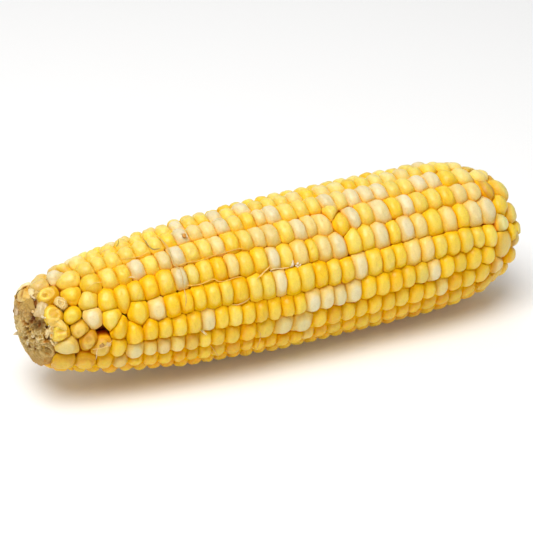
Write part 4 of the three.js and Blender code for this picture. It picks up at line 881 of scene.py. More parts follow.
def tip_bumps(P, N):
    face = smooth(-75.5, -79.0, P[:, 0])
    Q = P * np.array([0.6, 1.0, 1.0])
    warp = np.stack([fbm(Q / 2.6 + 31, 2), fbm(Q / 2.6 + 57, 2), fbm(Q / 2.6 + 83, 2)], 1)
    big = fbm(Q / 3.0 + warp * 0.5, 2)
    ridge = 1 - 2.2 * np.abs(fbm(Q / 1.7 + warp * 0.8 + 9.1, 2))
    fine = fbm(Q / 0.7 + warp, 3)
    sx, sy = sight(P)
    toward = N @ VIEW_BACK
    seen = smooth(-0.12, 0.10, toward)
    low = smooth(336, 352, sy) * seen                                        # the lower part is cut cleaner
    rough = face * (1 - 0.6 * low)
    h = rough * (0.46 * big + 0.26 * ridge + 0.16 * fine - 0.34) - 0.12 * low
    tone = 0.40 + 0.30 * ridge + 0.55 * big + 0.50 * fine
    col = np.tile(TAN_DARK, (len(P), 1))
    col = mixc(col, TAN, smooth(-0.35, 0.25, tone))
    col = mixc(col, TAN_PALE, 0.85 * smooth(0.55, 1.05, tone) * (1 - 0.5 * low))
    col = mixc(col, SAP, 0.40 * smooth(0.15, 0.6, fbm(Q / 2.2 + 71, 2)))
    col = mixc(col, lin(206, 160, 84), 0.55 * smooth(348, 364, sy) * seen)
    # painted shade: darker where the lower tip turns away from the eye point
    edge = smooth(0.30, 0.06, toward) * smooth(334, 340, sy) * seen
    col = mixc(col, lin(170, 112, 36), 0.7 * edge)
    # the little sockets the shed kernels left: thin pale walls round darker hollows, the darkness painted shade
    f1, f2, tag = cells3(P + 0.35 * warp, 1.75, 61)
    net = face * (seen * smooth(313, 322, sy) * smooth(358, 344, sy) * smooth(54, 46, sx) + (1 - seen) * 0.7 + 0.22 * seen)
    net = np.clip(net, 0, 1)
    wall = np.exp(-((f2 - f1) / 0.20) ** 2)
    well = smooth(0.78, 0.18, f1) * smooth(0.30, 0.75, tag)
    h = h + net * (0.40 * wall - 0.70 * well)
    col = mixc(col, lin(112, 74, 22), net * 0.9 * well)
    col = mixc(col, CAVE_SHADE, net * 0.9 * smooth(0.5, 0.12, f1) * smooth(0.80, 0.95, tag))
    col = mixc(col, lin(240, 220, 168), net * 0.95 * wall * smooth(-0.7, 0.2, fine + big))

    def press(kind, e, high, pw, c, on, h, col):
        body = np.exp(-(e ** pw) * 0.7) * on
        if kind == "lump":
            h = h + high * body * (0.8 + 0.25 * ridge)
            col = mixc(col, c, 0.7 * body * (0.65 + 0.35 * np.clip(tone, 0, 1)))
        elif kind == "pit":
            h = h - high * body + 0.12 * np.exp(-((e - 1.35) / 0.28) ** 2) * on
            col = mixc(col, c, np.clip(1.5 * body, 0, 1))
        elif kind == "ring":
            h = h - high * body + 0.26 * np.exp(-((e - 1.45) / 0.3) ** 2) * on
            col = mixc(mixc(col, SAP, 0.5 * np.exp(-((e - 1.2) / 0.3) ** 2) * on), c, np.clip(1.4 * np.exp(-(e * 1.25) ** 2) * on, 0, 1))
        elif kind == "oval":
            h = h - high * body + 0.34 * np.exp(-((e - 1.12) / 0.13) ** 2) * on
            col = mixc(col, c, 0.6 * body)
            col = mixc(col, TAN_PALE, 0.75 * np.exp(-((e - 1.10) / 0.13) ** 2) * on)
        else:
            h = h - high * body
            col = mixc(col, c, 0.85 * body)
        return h, col

    wob = 1 + 0.20 * fine + 0.15 * big
    for kind, fx, fy, su, sv, tilt, high, pw, c in FEATURES:
        t = math.radians(tilt)
        a, b = sx - fx, -(sy - fy)
        e = np.hypot((a * math.cos(t) + b * math.sin(t)) / su, (b * math.cos(t) - a * math.sin(t)) / sv) / wob
        h, col = press(kind, e, high, pw, c, seen, h, col)
    for kind, x, r, phi, su, sv, high, pw, c in FAR:
        c0, ev = spot(x, r, phi)
        d = P - c0
        b = d @ ev
        a = np.sqrt(np.maximum(np.sum(d * d, 1) - b * b, 0))
        e = np.hypot(a / su, b / sv) / wob
        h, col = press(kind, e, high, pw, c, 1 - seen, h, col)
    col = mixc(col, lin(160, 104, 34), smooth(-77.6, -75.4, P[:, 0]) * 0.9)
    h = np.where(h > 0.4, 0.4 + 0.3 * np.tanh((h - 0.4) / 0.3), h)            # no bump stands up further than this
    return h * face, np.clip(col * np.array([0.90, 0.86, 0.76]), 0, 1)


# painted shade: where gaps between kernels are sighted, and how wide each shaded spot is
GAP_SHADE_SPOTS = [(125.4, 313.6, 3.0), (101.8, 333.0, 4.5)]


def plain_bumps(P, N):
    big = fbm(P / 3.0, 3)
    col = mixc(np.tile(lin(186, 108, 12), (len(P), 1)), lin(214, 142, 30), smooth(-0.5, 0.6, big))
    # painted shade: near black where a gap between kernels lets one see down to it
    sx, sy = sight(P)
    for gx, gy, gr in GAP_SHADE_SPOTS:
        col = mixc(col, lin(84, 10, 2), smooth(2.2 * gr, 0.9 * gr, np.hypot(sx - gx, sy - gy)) * (N @ VIEW_BACK > 0))
    return 0.25 * big, col


def butt_bumps(P, N):
    rr = np.hypot(P[:, 1], P[:, 2])
    ang = np.arctan2(P[:, 2], -P[:, 1])
    end = smooth(81.5, 83.6, P[:, 0])
    Q = P * np.array([0.5, 1, 1])
    big, fine = fbm(Q / 2.8 + 5, 3), fbm(Q / 0.8 + 3, 3)
    spokes = np.sin(ang * 23 + 2.5 * big) * smooth(5.5, 7.5, rr)
    h = end * (0.28 * big + 0.14 * fine + 0.18 * spokes - 0.15)
    col = mixc(np.tile(TAN_DARK, (len(P), 1)), TAN, smooth(-0.6, 0.3, big + 0.4 * spokes))
    col = mixc(col, TAN_PALE, smooth(0.1, 0.9, big + 0.5 * fine) * smooth(7.5, 4.0, rr))
    col = mixc(col, lin(150, 96, 30), smooth(82.6, 81.0, P[:, 0]))
    return h, np.clip(col, 0, 1)


def coloured(name, V, F, col, mat, node, slot):
    o = mesh_object(name, V, F, mat)
    attr(o.data, "tint", "FLOAT_COLOR", np.concatenate([col, np.ones((len(col), 1))], 1))
    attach(o, "root")
    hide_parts(node)
    return o


q_ = 1.0
coloured("cob_tip", *turned(TIP_CURVE, 0.165 * q_, int(420 / q_), -79.5, tip_bumps), M_COB, "cob", "cob")
coloured("cob_body", *turned([(-73.5, 0), (-73.0, 10.6), *[c for c in zip(COB_X, COB_R) if -72.5 < c[0] < 80], (80.5, 12.2), (81.0, 0)], 1.6 * q_, int(96 / q_), -200, plain_bumps),
         M_COB, "cob", "cob")
coloured("cob_butt", *turned(BUTT_CURVE, 0.3 * q_, int(240 / q_), -200, butt_bumps), M_COB, "cob", "cob")

# ---------------------------------------------------------------- chaff, silk and crumbs
_parts = [o for o in SC.objects if o.type == "MESH" and (o.name.startswith("kernels_") or o.name == "cob_tip")]
_V, _F = [], []
_b = 0
for o in _parts:
    n = len(o.data.vertices)
    co_ = np.empty(n * 3); o.data.vertices.foreach_get("co", co_)
    _V.append(co_.reshape(-1, 3))
    _F += [tuple(_b + q for q in f.vertices) for f in o.data.polygons]
    _b += n
SKIN = BVHTree.FromPolygons([tuple(v) for v in np.concatenate(_V)], _F)
del _V, _F


def ear_point(x, phi, h=0.0):
    """The outermost surface of the ear at station x and angle phi (design frame, mm), h above it, and the outward direction."""
    a = math.radians(phi)
    out = Vector((0, -math.cos(a), math.sin(a)))
    o = Vector(((x - ORIGIN_X) * MM, 0, AXIS_Z * MM)) + out * 0.034
    hit = SKIN.ray_cast(o, -out, 0.034)
    d = (0.034 - hit[3]) if hit[0] is not None else float(pchip(CROWN_X, CROWN_R, x)) * MM - 0.003
    return Vector(((x - ORIGIN_X) * MM, 0, AXIS_Z * MM)) + out * (d + h * MM), out, d / MM


def sheet(grid, thick):
    """A thin closed sheet from a grid of points (n, m, 3) in metres."""
    n, m, _ = grid.shape
    du = np.gradient(grid, axis=0); dv = np.gradient(grid, axis=1)
    nn = np.cross(du, dv); nn /= np.linalg.norm(nn, axis=2)[:, :, None] + 1e-12
    top, bot = grid + nn * thick / 2, grid - nn * thick / 2
    V = np.concatenate([top.reshape(-1, 3), bot.reshape(-1, 3)])
    N_ = n * m
    F = []
    for i in range(n - 1):
        for j in range(m - 1):
            a = i * m + j
            F += [(a, a + m, a + m + 1, a + 1), (N_ + a, N_ + a + 1, N_ + a + m + 1, N_ + a + m)]
    rim = [i * m for i in range(n)] + [(n - 1) * m + j for j in range(1, m)] + [i * m + m - 1 for i in range(n - 2, -1, -1)] + [j for j in range(m - 2, 0, -1)]
    for a, b in zip(rim, rim[1:] + rim[:1]):
        F.append((a, N_ + a, N_ + b, b))
    return V, F


def flake(x, phi, turn, length, width, lift, curl, seed, h=0.15):
    """A scrap of glume: rooted at (x, phi), pointing `turn` degrees from tipwards towards +phi."""
    r = np.random.default_rng(seed)
    p0, out, _ = ear_point(x, phi, h)
    a = math.radians(phi)
    ev = Vector((0, math.sin(a), math.cos(a)))
    t = math.radians(turn)
    eu = (Vector((-1, 0, 0)) * math.cos(t) + ev * math.sin(t)).normalized()
    ew = out.cross(eu).normalized()
    n, m = 9, 7
    g = np.zeros((n, m, 3))
    rag = r.normal(0, 0.16, (n, m))
    for i in range(n):
        u = i / (n - 1)
        wd = width * math.sqrt(max(0.03, 1 - (1.15 * u - 0.25) ** 4))
        for j in range(m):
            v = j / (m - 1) - 0.5
            lu = length * u * (1 + 0.22 * rag[0, j])
            hh = lift * u + curl * u * u - 1.5 * width * 0.35 * (v * v) * (1 - 0.4 * u) + 0.10 * rag[i, j]
            g[i, j] = p0 + (eu * lu + ew * (wd * v * (1 + 0.1 * rag[i, 0])) + out * hh) * MM
    return sheet(g, 0.00009)


def tube(points, radius, sides=6):
    """A closed tube along points (metres); radius in metres, tapering at both ends."""
    P = np.array([tuple(v) for v in points])
    T = np.gradient(P, axis=0); T /= np.linalg.norm(T, axis=1)[:, None]
    up_ = np.array([0.3, 0.2, 0.93])
    V, F = [], []
    n = len(P)
    for i in range(n):
        s1 = np.cross(T[i], up_); s1 /= np.linalg.norm(s1)
        s2 = np.cross(T[i], s1)
        rad = radius * min(1, 0.35 + 0.65 * min(i, n - 1 - i) / 4)
        for j in range(sides):
            q = 2 * math.pi * j / sides
            V.append(P[i] + (s1 * math.cos(q) + s2 * math.sin(q)) * rad)
    for i in range(n - 1):
        for j in range(sides):
            F.append((i * sides + j, i * sides + (j + 1) % sides, (i + 1) * sides + (j + 1) % sides, (i + 1) * sides + j))
    F.append(tuple(range(sides - 1, -1, -1)))
    F.append(tuple((n - 1) * sides + j for j in range(sides)))
    return np.array(V), F


def gather(name, pieces, mat, node="cob", slot="cob"):
    V, F, C, b = [], [], [], 0
    for (v, f), c in pieces:
        V.append(v); F += [tuple(b + q for q in face) for face in f]; b += len(v)
        c = np.asarray(c, float)
        C.append(c if c.ndim == 2 else np.tile(c, (len(v), 1)))
    return coloured(name, np.concatenate(V), F, np.concatenate(C), mat, node, slot)


CH_WHITE, CH_BUFF, CH_TAN, CH_GOLD = lin(236, 220, 184), lin(220, 188, 126), lin(190, 146, 76), lin(214, 164, 60)

_v, _f, _ = turned(TIP_CURVE, 0.8, 96, -79.5, lambda P, N: (0 * P[:, 0] - 0.1, np.zeros((len(P), 3))))
PLAIN_TIP = BVHTree.FromPolygons([tuple(q) for q in _v], [tuple(q) for q in _f])
_EYE = Vector(((VIEW_EYE[0] - ORIGIN_X) * MM, VIEW_EYE[1] * MM, (VIEW_EYE[2] + AXIS_Z) * MM))


def scrap(corners, lift, dome, thick, base, rim=None, paint=(), seed=0, wrinkle=0.08, power=2.5, tilt=0.0, on=None, rings=None, span=False):
    """A lens of tissue lying on the tip: its corners as sighted; raised by lift, domed, thick (mm).

    paint: spots of colour (a, b, half size, half size, tilt, colour, strength, depth)."""
    c = np.array(corners, float)
    cx, cy = c.mean(0)
    r = np.random.default_rng(seed + 4000)
    n, m = 12, 44
    th = np.arange(m) / m * 2 * math.pi
    d = np.stack([np.cos(th), np.sin(th)], 1)
    # how far the outline is in each direction, from the corners; then rounded off a little
    out = np.zeros(m)
    for j in range(m):
        best = 0
        for p0, p1 in zip(c, np.roll(c, -1, axis=0)):
            e = p1 - p0
            den = d[j, 0] * e[1] - d[j, 1] * e[0]
            if abs(den) < 1e-9:
                continue
            q = p0 - (cx, cy)
            tt = (q[0] * e[1] - q[1] * e[0]) / den
            uu = (q[0] * d[j, 1] - q[1] * d[j, 0]) / den
            if tt > 0 and -1e-6 <= uu <= 1 + 1e-6:
                best = max(best, tt)
        out[j] = best
    sm = np.convolve(np.concatenate([out[-1:], out, out[:1]]), [0.25, 0.5, 0.25], mode="valid")
    out = sm * (1 + wrinkle * 0.6 * np.sin(th * 3 + r.uniform(0, 6)) + wrinkle * 0.5 * np.sin(th * 7 + r.uniform(0, 6)))
    skin = SKIN if on == "skin" else PLAIN_TIP
    w0 = Vector(tuple(sight_line(cx, cy)))
    loc, nor, _, dist0 = skin.ray_cast(_EYE, w0)
    if loc is None:
        past, dist0 = 0.0, VIEW_DIST * MM
        for _ in range(12):                                                 # where the line of sight passes closest by
            loc, nor, _, _ = skin.find_nearest(_EYE + w0 * dist0)
            dist0 = (loc - _EYE).dot(w0)
    else:
        past = 0.0025
    nor = (nor * 0.2 + Vector(tuple(VIEW_BACK)) * 0.8).normalized()
    rho = np.concatenate([[0], np.sin(np.linspace(0, 1, n + 1)[1:] * math.pi / 2)])
    far, way, UV = [], [], []
    for q in rho:
        for j in (range(m) if q > 0 else (0,)):
            a, b = cx + q * out[j] * d[j, 0], cy + q * out[j] * d[j, 1]
            w = Vector(tuple(sight_line(a, b)))
            hit = skin.ray_cast(_EYE, w)
            dist = hit[3] if hit[0] is not None else None
            if dist is None or abs(dist - dist0) > 0.006:
                dist = (dist0 + (past if dist is None else 0))
            far.append(dist); way.append(tuple(w)); UV.append((a, b, q))
    if span:                                                                 # taut over the creases under it
        far = np.minimum(far, np.percentile(far, 45))
    B, UV = np.array(tuple(_EYE)) + np.array(way) * np.array(far)[:, None], np.array(UV)
    nv = np.array(nor)
    f = 1 - UV[:, 2] ** power
    wr = wrinkle * (fbm(B / MM / 1.3 + seed, 3) + 0.6 * fbm(B / MM / 0.55 + seed, 2))
    hgt = lift + dome * f + wr * 1.6 + tilt * (UV[:, 0] - cx) / max(1.0, out.max())
    col = np.tile(base, (len(B), 1)).astype(float)
    if rim is not None:
        col = mixc(col, rim, smooth(0.62, 0.92, UV[:, 2]))
    for a0, b0, sa, sb, tl, cc, st, dp in paint:
        t = math.radians(tl)
        da, db = UV[:, 0] - a0, -(UV[:, 1] - b0)
        e = np.hypot((da * math.cos(t) + db * math.sin(t)) / sa, (db * math.cos(t) - da * math.sin(t)) / sb)
        body = np.exp(-e ** 3 * 0.7)
        col = mixc(col, cc, st * body)
        hgt = hgt - dp * body
    if rings is not None:                                                    # crumpled in rings round the middle
        turns, high, pale = rings
        wave = np.sin(2 * math.pi * (turns * UV[:, 2] + 0.18 * np.sin(3 * np.arctan2(UV[:, 1] - cy, UV[:, 0] - cx) + seed)) + 0.8 * wr / max(wrinkle, 0.01))
        hgt = hgt + high * wave
        col = mixc(col, pale, 0.85 * smooth(0.2, 0.9, wave))
    top = B + nv * (hgt * MM)[:, None]
    bot = B + nv * (np.minimum(hgt - thick, hgt - 0.12 - (thick - 0.12) * f) * MM)[:, None]
    V = np.concatenate([top, bot]); N_ = len(top)
    idx = lambda ring, j: 1 + ring * m + j % m
    F = [(0, idx(0, j + 1), idx(0, j)) for j in range(m)]
    for ring in range(n - 1):
        for j in range(m):
            F.append((idx(ring, j), idx(ring, j + 1), idx(ring + 1, j + 1), idx(ring + 1, j)))
    G = [tuple(N_ + q for q in reversed(face)) for face in F]
    W = [(idx(n - 1, j), idx(n - 1, j + 1), N_ + idx(n - 1, j + 1), N_ + idx(n - 1, j)) for j in range(m)]
    return (V, F + G + W), np.concatenate([col, col])


CREAM, STRAW = lin(244, 226, 178), lin(226, 192, 116)
CREAM_SILK = lin(250, 232, 190)
SCRAPS = [
    # a swollen, half-empty lobe at the top corner of the tip
    scrap([(15.4, 298.5), (16.2, 293.0), (18.6, 288.4), (22.0, 285.0), (26.5, 282.8), (31.0, 282.4), (33.4, 286.0), (34.0, 291.5), (31.5, 297.4), (26.0, 301.4), (19.0, 302.4)],
          0.30, 1.00, 1.6, lin(232, 194, 100), None,
          [(19.4, 289.8, 7.0, 2.0, 52, CREAM, 0.95, -0.1), (27.8, 284.6, 4.6, 1.7, 14, CREAM, 0.95, -0.1),
           (26.6, 294.0, 4.6, 5.6, 0, lin(228, 184, 88), 0.9, 0.25), (22.8, 294.2, 0.9, 4.4, -14, lin(172, 110, 26), 0.95, 0.3),
           (25.4, 288.2, 3.0, 0.9, 30, lin(176, 118, 26), 0.95, 0.25), (27.2, 290.0, 1.9, 2.3, 0, lin(226, 160, 6), 1.0, 0.45),
           (29.3, 289.6, 0.7, 2.2, -10, lin(160, 98, 10), 0.9, 0.2),
           (24.8, 299.0, 2.6, 0.6, -20, lin(176, 118, 40), 0.7, 0.1), (16.9, 298.2, 1.1, 3.2, 0, lin(176, 116, 34), 0.8, 0.1)],
          seed=1, wrinkle=0.035, power=3.0),
    scrap([(28.6, 289.8), (31.0, 288.4), (34.0, 290.0), (34.6, 294.5), (31.8, 296.6), (28.9, 294.5)], 0.95, 0.55, 0.8, lin(242, 218, 160), None, [], seed=2),
    scrap([(29.6, 295.4), (31.0, 294.9), (36.0, 298.2), (35.2, 299.4), (32.6, 298.4)], 1.0, 0.3, 0.4, lin(224, 198, 148), None, [], seed=3),
    # the torn stump of a glume, pale and papery
    scrap([(38.0, 302.2), (43.0, 301.4), (48.2, 303.4), (47.6, 309.0), (46.6, 314.6), (42.4, 316.6), (38.4, 318.6), (35.0, 316.8), (32.8, 314.6), (35.6, 310.4), (36.2, 306.5)],
          0.55, 0.70, 1.3, lin(214, 190, 138), lin(200, 168, 112),
          [(46.2, 309.0, 0.7, 4.5, 0, CREAM, 0.8, -0.1), (44.0, 307.5, 0.5, 4.0, 0, lin(206, 174, 120), 0.6, 0.12), (41.4, 308.0, 0.6, 4.5, -8, CREAM, 0.5, -0.1),
           (39.2, 310.5, 0.5, 3.0, -12, lin(200, 164, 108), 0.6, 0.12), (37.2, 314.5, 1.9, 1.6, 0, lin(214, 182, 128), 0.6, 0.1), (40.4, 315.4, 1.5, 1.2, 0, lin(196, 156, 96), 0.6, 0.15),
           (36.6, 310.0, 1.0, 1.2, 0, lin(196, 156, 96), 0.6, 0.15)],
          seed=4, wrinkle=0.17, power=4),
    scrap([(31.6, 310.6), (33.4, 309.8), (34.8, 311.4), (34.0, 313.6), (32.0, 313.4)], 0.6, 0.4, 0.6, lin(220, 184, 120), None, [], seed=5),
    scrap([(43.4, 316.8), (44.4, 316.4), (45.0, 317.4), (44.4, 318.6), (43.4, 318.2)], 0.7, 0.3, 0.5, lin(236, 214, 164), None, [], seed=6),
    # a flap standing off the left side
    scrap([(16.6, 306.6), (14.9, 307.8), (14.3, 311.0), (15.0, 315.0), (16.6, 317.6), (18.6, 314.0), (18.8, 309.0)], 0.2, 0.35, 0.7, lin(222, 192, 138), lin(188, 144, 84), [(16.0, 311.0, 0.6, 3.0, 0, lin(176, 130, 66), 0.6, 0.1)], seed=7),
    scrap([(17.6, 331.0), (15.4, 332.2), (12.6, 334.9), (15.6, 335.0), (18.0, 335.2)], 0.1, 0.25, 0.4, lin(226, 204, 160), None, [], seed=8),
    # torn edges beside the third cut kernel
    scrap([(44.6, 333.6), (46.2, 329.6), (48.6, 328.2), (50.4, 330.4), (50.0, 334.4), (48.4, 337.4), (45.6, 337.6)], 0.75, 0.15, 0.35, lin(226, 200, 142), lin(206, 172, 104),
          [(47.5, 331.5, 0.6, 2.4, -20, CREAM, 0.7, -0.1), (46.0, 335.4, 0.8, 0.8, 0, lin(170, 126, 60), 0.7, 0.1)], seed=9, wrinkle=0.20, power=4),
    scrap([(48.8, 329.0), (50.2, 326.4), (53.2, 326.2), (56.0, 328.4), (55.4, 331.6), (53.0, 334.0), (50.4, 333.0)], 0.85, 0.15, 0.35, lin(226, 186, 104), lin(238, 212, 148),
          [(52.0, 329.6, 0.6, 1.8, 30, lin(206, 152, 52), 0.7, 0.1)], seed=10, wrinkle=0.18, power=4),
    scrap([(49.6, 334.4), (51.2, 332.6), (53.4, 332.8), (54.2, 336.0), (52.6, 338.8), (50.2, 338.0)], 0.85, 0.15, 0.35, lin(232, 196, 108), lin(240, 214, 146),
          [(51.4, 334.8, 1.1, 1.7, 0, lin(218, 148, 14), 0.95, 0.12)], seed=11, wrinkle=0.16, power=4),
    scrap([(52.6, 339.2), (54.4, 337.4), (57.0, 340.6), (60.4, 344.6), (58.2, 345.6), (54.8, 343.2)], 0.85, 0.15, 0.3, lin(238, 208, 138), None, [], seed=17, wrinkle=0.14, power=4),
    # the lip where the second and third cut kernels run together
    scrap([(47.4, 320.6), (49.2, 318.4), (53.0, 317.6), (57.2, 317.8), (61.6, 319.8), (65.4, 323.8), (67.0, 329.4), (65.6, 332.6), (62.2, 329.4), (58.4, 326.8), (53.0, 327.0), (48.8, 324.8)],
          0.06, 0.34, 1.5, lin(238, 196, 84), lin(240, 202, 98), [(52.4, 320.4, 2.8, 0.8, -10, lin(238, 184, 40), 0.7, 0.10), (59.6, 323.2, 4.0, 0.9, -34, lin(246, 220, 136), 0.9, -0.05)], seed=19, wrinkle=0.05, power=3, on="skin", span=True),
    # the crumpled husk of a kernel between the first two cut ones
    scrap([(54.2, 303.0), (56.0, 299.2), (59.6, 297.2), (63.6, 297.8), (66.2, 301.0), (66.8, 305.4), (65.2, 309.6), (62.2, 311.8), (60.0, 308.6), (57.4, 306.0)],
          0.30, 0.40, 0.8, lin(224, 188, 104), None, [(60.8, 304.2, 1.4, 1.8, 0, lin(180, 134, 50), 0.9, 0.3)], seed=18, wrinkle=0.12, power=3, on="skin", rings=(2.1, 0.12, lin(244, 224, 164))),
    # narrow flaps on the lower face
    scrap([(27.0, 344.4), (26.8, 340.6), (28.4, 338.6), (29.4, 341.4), (28.4, 345.4)], 0.3, 0.3, 0.5, lin(228, 208, 164), None, [], seed=12),
    scrap([(30.6, 336.0), (33.6, 334.6), (35.4, 336.4), (33.0, 338.2)], 0.3, 0.3, 0.5, lin(226, 198, 142), None, [], seed=13),
    scrap([(35.4, 338.6), (39.0, 336.8), (40.0, 341.0), (37.0, 343.6)], 0.2, 0.3, 0.5, lin(214, 182, 122), None, [], seed=14),
    scrap([(17.8, 322.0), (20.4, 319.6), (22.4, 323.0), (21.6, 328.6), (18.8, 329.0)], 0.2, 0.35, 0.6, lin(224, 196, 144), None, [], seed=15),
    scrap([(49.8, 339.8), (52.0, 340.4), (55.6, 345.4), (54.8, 346.8), (51.6, 343.8)], 0.5, 0.3, 0.5, lin(238, 210, 150), None, [], seed=16),
]
# scraps of chaff that can be made out one by one: station, angle, direction, length, width, lift, curl, colour
CHAFF = [
    (-79.2, 40.0, 30, 0.9, 0.8, 0.2, 0.1, CH_WHITE),
    (-63.6, -6.5, 60, 1.8, 1.5, 0.2, 0.0, CH_TAN), (-62.6, -3.5, 200, 1.4, 1.3, 0.2, 0.0, CH_BUFF),
]
_cr = np.random.default_rng(515)
bits = SCRAPS + [(flake(x, ph, tn, ln, wd, lf, cl, 300 + n), c) for n, (x, ph, tn, ln, wd, lf, cl, c) in enumerate(CHAFF)]
for n in range(20):                                                         # the same round the far side
    x, ph = _cr.uniform(-79.6, -76.8), _cr.uniform(140, 225)
    bits.append((flake(x, ph, _cr.uniform(-40, 40), _cr.uniform(1.2, 2.0), _cr.uniform(1.2, 2.0), _cr.uniform(0.0, 0.3), _cr.uniform(-0.3, 0.1), 900 + n),
                 [CH_WHITE, CH_BUFF, CH_TAN][_cr.integers(3)]))

# Strands of silk: where each runs as sighted, thickness in mm, colour
SILK = [
    ([(176.5, 266.0), (183.7, 263.7), (194.8, 261.4), (204.8, 259.2), (213.7, 255.6), (223.7, 252.9), (232.7, 250.4), (240.4, 248.5), (245.0, 249.0)], 0.11, lin(226, 178, 74)),
    ([(185.9, 285.9), (192.0, 285.4), (199.2, 284.2), (207.6, 281.4), (213.7, 279.2), (219.2, 281.4), (225.0, 281.2), (229.6, 280.0), (235.0, 277.7), (242.0, 276.2)], 0.11, lin(232, 186, 84)),
    ([(161.7, 238.7), (165.7, 244.0), (169.7, 252.0), (172.7, 259.3), (174.3, 264.7), (180.3, 269.8), (182.4, 277.0), (182.9, 284.2), (184.8, 290.9), (185.9, 299.8), (185.3, 306.4)], 0.10, lin(206, 172, 104)),
    ([(155.5, 234.1), (161.2, 240.2), (166.8, 247.6), (171.0, 255.6), (173.2, 263.2), (177.2, 267.4)], 0.07, lin(216, 184, 120)),
    ([(142.6, 237.2), (144.4, 239.8), (146.6, 242.4), (148.2, 245.2), (150.4, 247.8), (153.6, 249.4), (157.4, 249.2), (160.4, 248.0)], 0.09, lin(138, 124, 92)),
    ([(117.2, 238.8), (118.3, 240.2), (118.6, 242.6), (117.8, 244.8), (116.0, 246.4)], 0.09, lin(138, 124, 92)),
    ([(99.6, 254.4), (102.4, 251.4), (106.0, 249.6), (110.4, 249.0)], 0.06, lin(196, 178, 128)),
    ([(119.4, 258.4), (124.3, 258.9), (129.7, 258.2), (135.0, 257.2), (140.3, 255.9), (145.6, 253.2), (149.0, 251.4)], 0.08, lin(232, 192, 104)),
    ([(128.4, 277.4), (131.6, 277.2), (135.2, 278.0)], 0.12, CH_WHITE),
    ([(256.4, 279.6), (258.4, 277.0), (262.0, 274.2), (266.5, 270.2), (270.6, 266.0)], 0.16, lin(226, 186, 106)),
    ([(270.0, 272.4), (271.6, 269.6), (275.6, 268.6), (280.4, 268.6), (285.0, 268.2), (289.2, 267.6)], 0.13, lin(232, 204, 146)),
    ([(266.0, 249.8), (267.4, 254.0), (268.8, 259.6), (269.8, 265.0)], 0.08, lin(226, 190, 104)),
    ([(270.4, 270.6), (273.4, 272.2), (277.2, 271.6)], 0.06, CH_WHITE),
    ([(249.9, 297.4), (248.2, 299.6), (245.8, 301.6), (242.0, 303.4), (236.5, 304.7), (231.6, 304.6)], 0.11, lin(226, 190, 120)),
    ([(200.2, 330.2), (203.2, 332.6), (206.8, 335.4)], 0.13, CREAM_SILK), ([(201.4, 329.8), (204.4, 332.0), (207.6, 334.4)], 0.09, CREAM_SILK),
    ([(209.6, 344.8), (212.0, 347.4), (214.8, 350.8), (217.0, 354.4), (218.9, 358.0)], 0.10, lin(214, 174, 96)),
    ([(257.0, 330.0), (260.6, 334.0), (260.4, 339.0), (257.6, 345.6), (255.4, 350.4)], 0.09, lin(214, 174, 96)),
    ([(112.4, 340.6), (109.6, 343.4), (106.8, 346.0), (102.3, 347.6), (97.6, 348.9), (92.6, 349.8)], 0.12, lin(232, 190, 110)),
    ([(98.0, 348.4), (96.9, 352.2), (96.8, 355.4), (95.4, 359.8)], 0.10, lin(236, 206, 160)),
    ([(87.0, 288.0), (92.0, 284.6), (97.6, 282.4), (103.0, 281.8)], 0.06, lin(226, 196, 120)),
    ([(212.0, 222.6), (218.0, 219.8), (224.6, 218.6)], 0.06, lin(220, 186, 100)),
]
threads = []
for n, (way, thick, c) in enumerate(SILK):
    r = np.random.default_rng(1700 + n)
    w_ = np.array(way, float)
    d = np.concatenate([[0], np.cumsum(np.hypot(np.diff(w_[:, 0]), np.diff(w_[:, 1])))])
    t = np.linspace(0, d[-1], max(8, int(d[-1] / (1.1))))
    ph0 = r.uniform(0, 6)
    pa = pchip(d, w_[:, 0], t) + 0.22 * np.sin(t * 0.33 + ph0)
    pb = pchip(d, w_[:, 1], t) + 0.22 * np.sin(t * 0.28 + ph0 * 1.7)
    rays = [Vector(tuple(sight_line(a, b))) for a, b in zip(pa, pb)]
    far = [SKIN.ray_cast(_EYE, q)[3] for q in rays]
    ok = [q for q in far if q is not None]
    far = np.array([q if q is not None else float(np.median(ok)) for q in far])
    for _ in range(12):                                                     # pulled taut from crown to crown
        far = np.minimum(far, np.convolve(np.pad(far, 4, mode="edge"), np.ones(9) / 9, mode="valid"))
    thick *= 1.3
    pts = [_EYE + q * (float(f) - thick * 0.8 * MM) for q, f in zip(rays, far)]
    threads.append((tube(pts, thick * MM), np.clip(np.asarray(c) * 1.15, 0, 0.95)))
# and a few on the side that lies away: waypoints (station, angle)
for n, (way, thick, c) in enumerate([([(-61, 131), (-54, 137), (-47, 133), (-40, 138)], 0.09, CH_GOLD), ([(-22, 168), (-15, 161), (-8, 163), (-3, 155)], 0.09, CH_BUFF),
                                     ([(24, 128), (29, 136), (36, 139)], 0.07, CH_BUFF), ([(48, 182), (52, 174), (59, 176)], 0.08, CH_GOLD)]):
    w_ = np.array(way, float)
    t = np.linspace(0, 1, 50)
    at = np.linspace(0, 1, len(w_))
    hits = [ear_point(float(a), float(b)) for a, b in zip(pchip(at, w_[:, 0], t), pchip(at, w_[:, 1], t))]
    rad = np.array([q[2] for q in hits])
    for _ in range(6):
        rad = np.maximum(rad, np.convolve(np.pad(rad, 3, mode="edge"), np.ones(7) / 7, mode="valid"))
    mid = [Vector(((float(a) - ORIGIN_X) * MM, 0, AXIS_Z * MM)) for a in pchip(at, w_[:, 0], t)]
    threads.append((tube([m_ + q[1] * ((float(f) + thick * 0.8) * MM) for m_, q, f in zip(mid, hits, rad)], thick * MM), c))


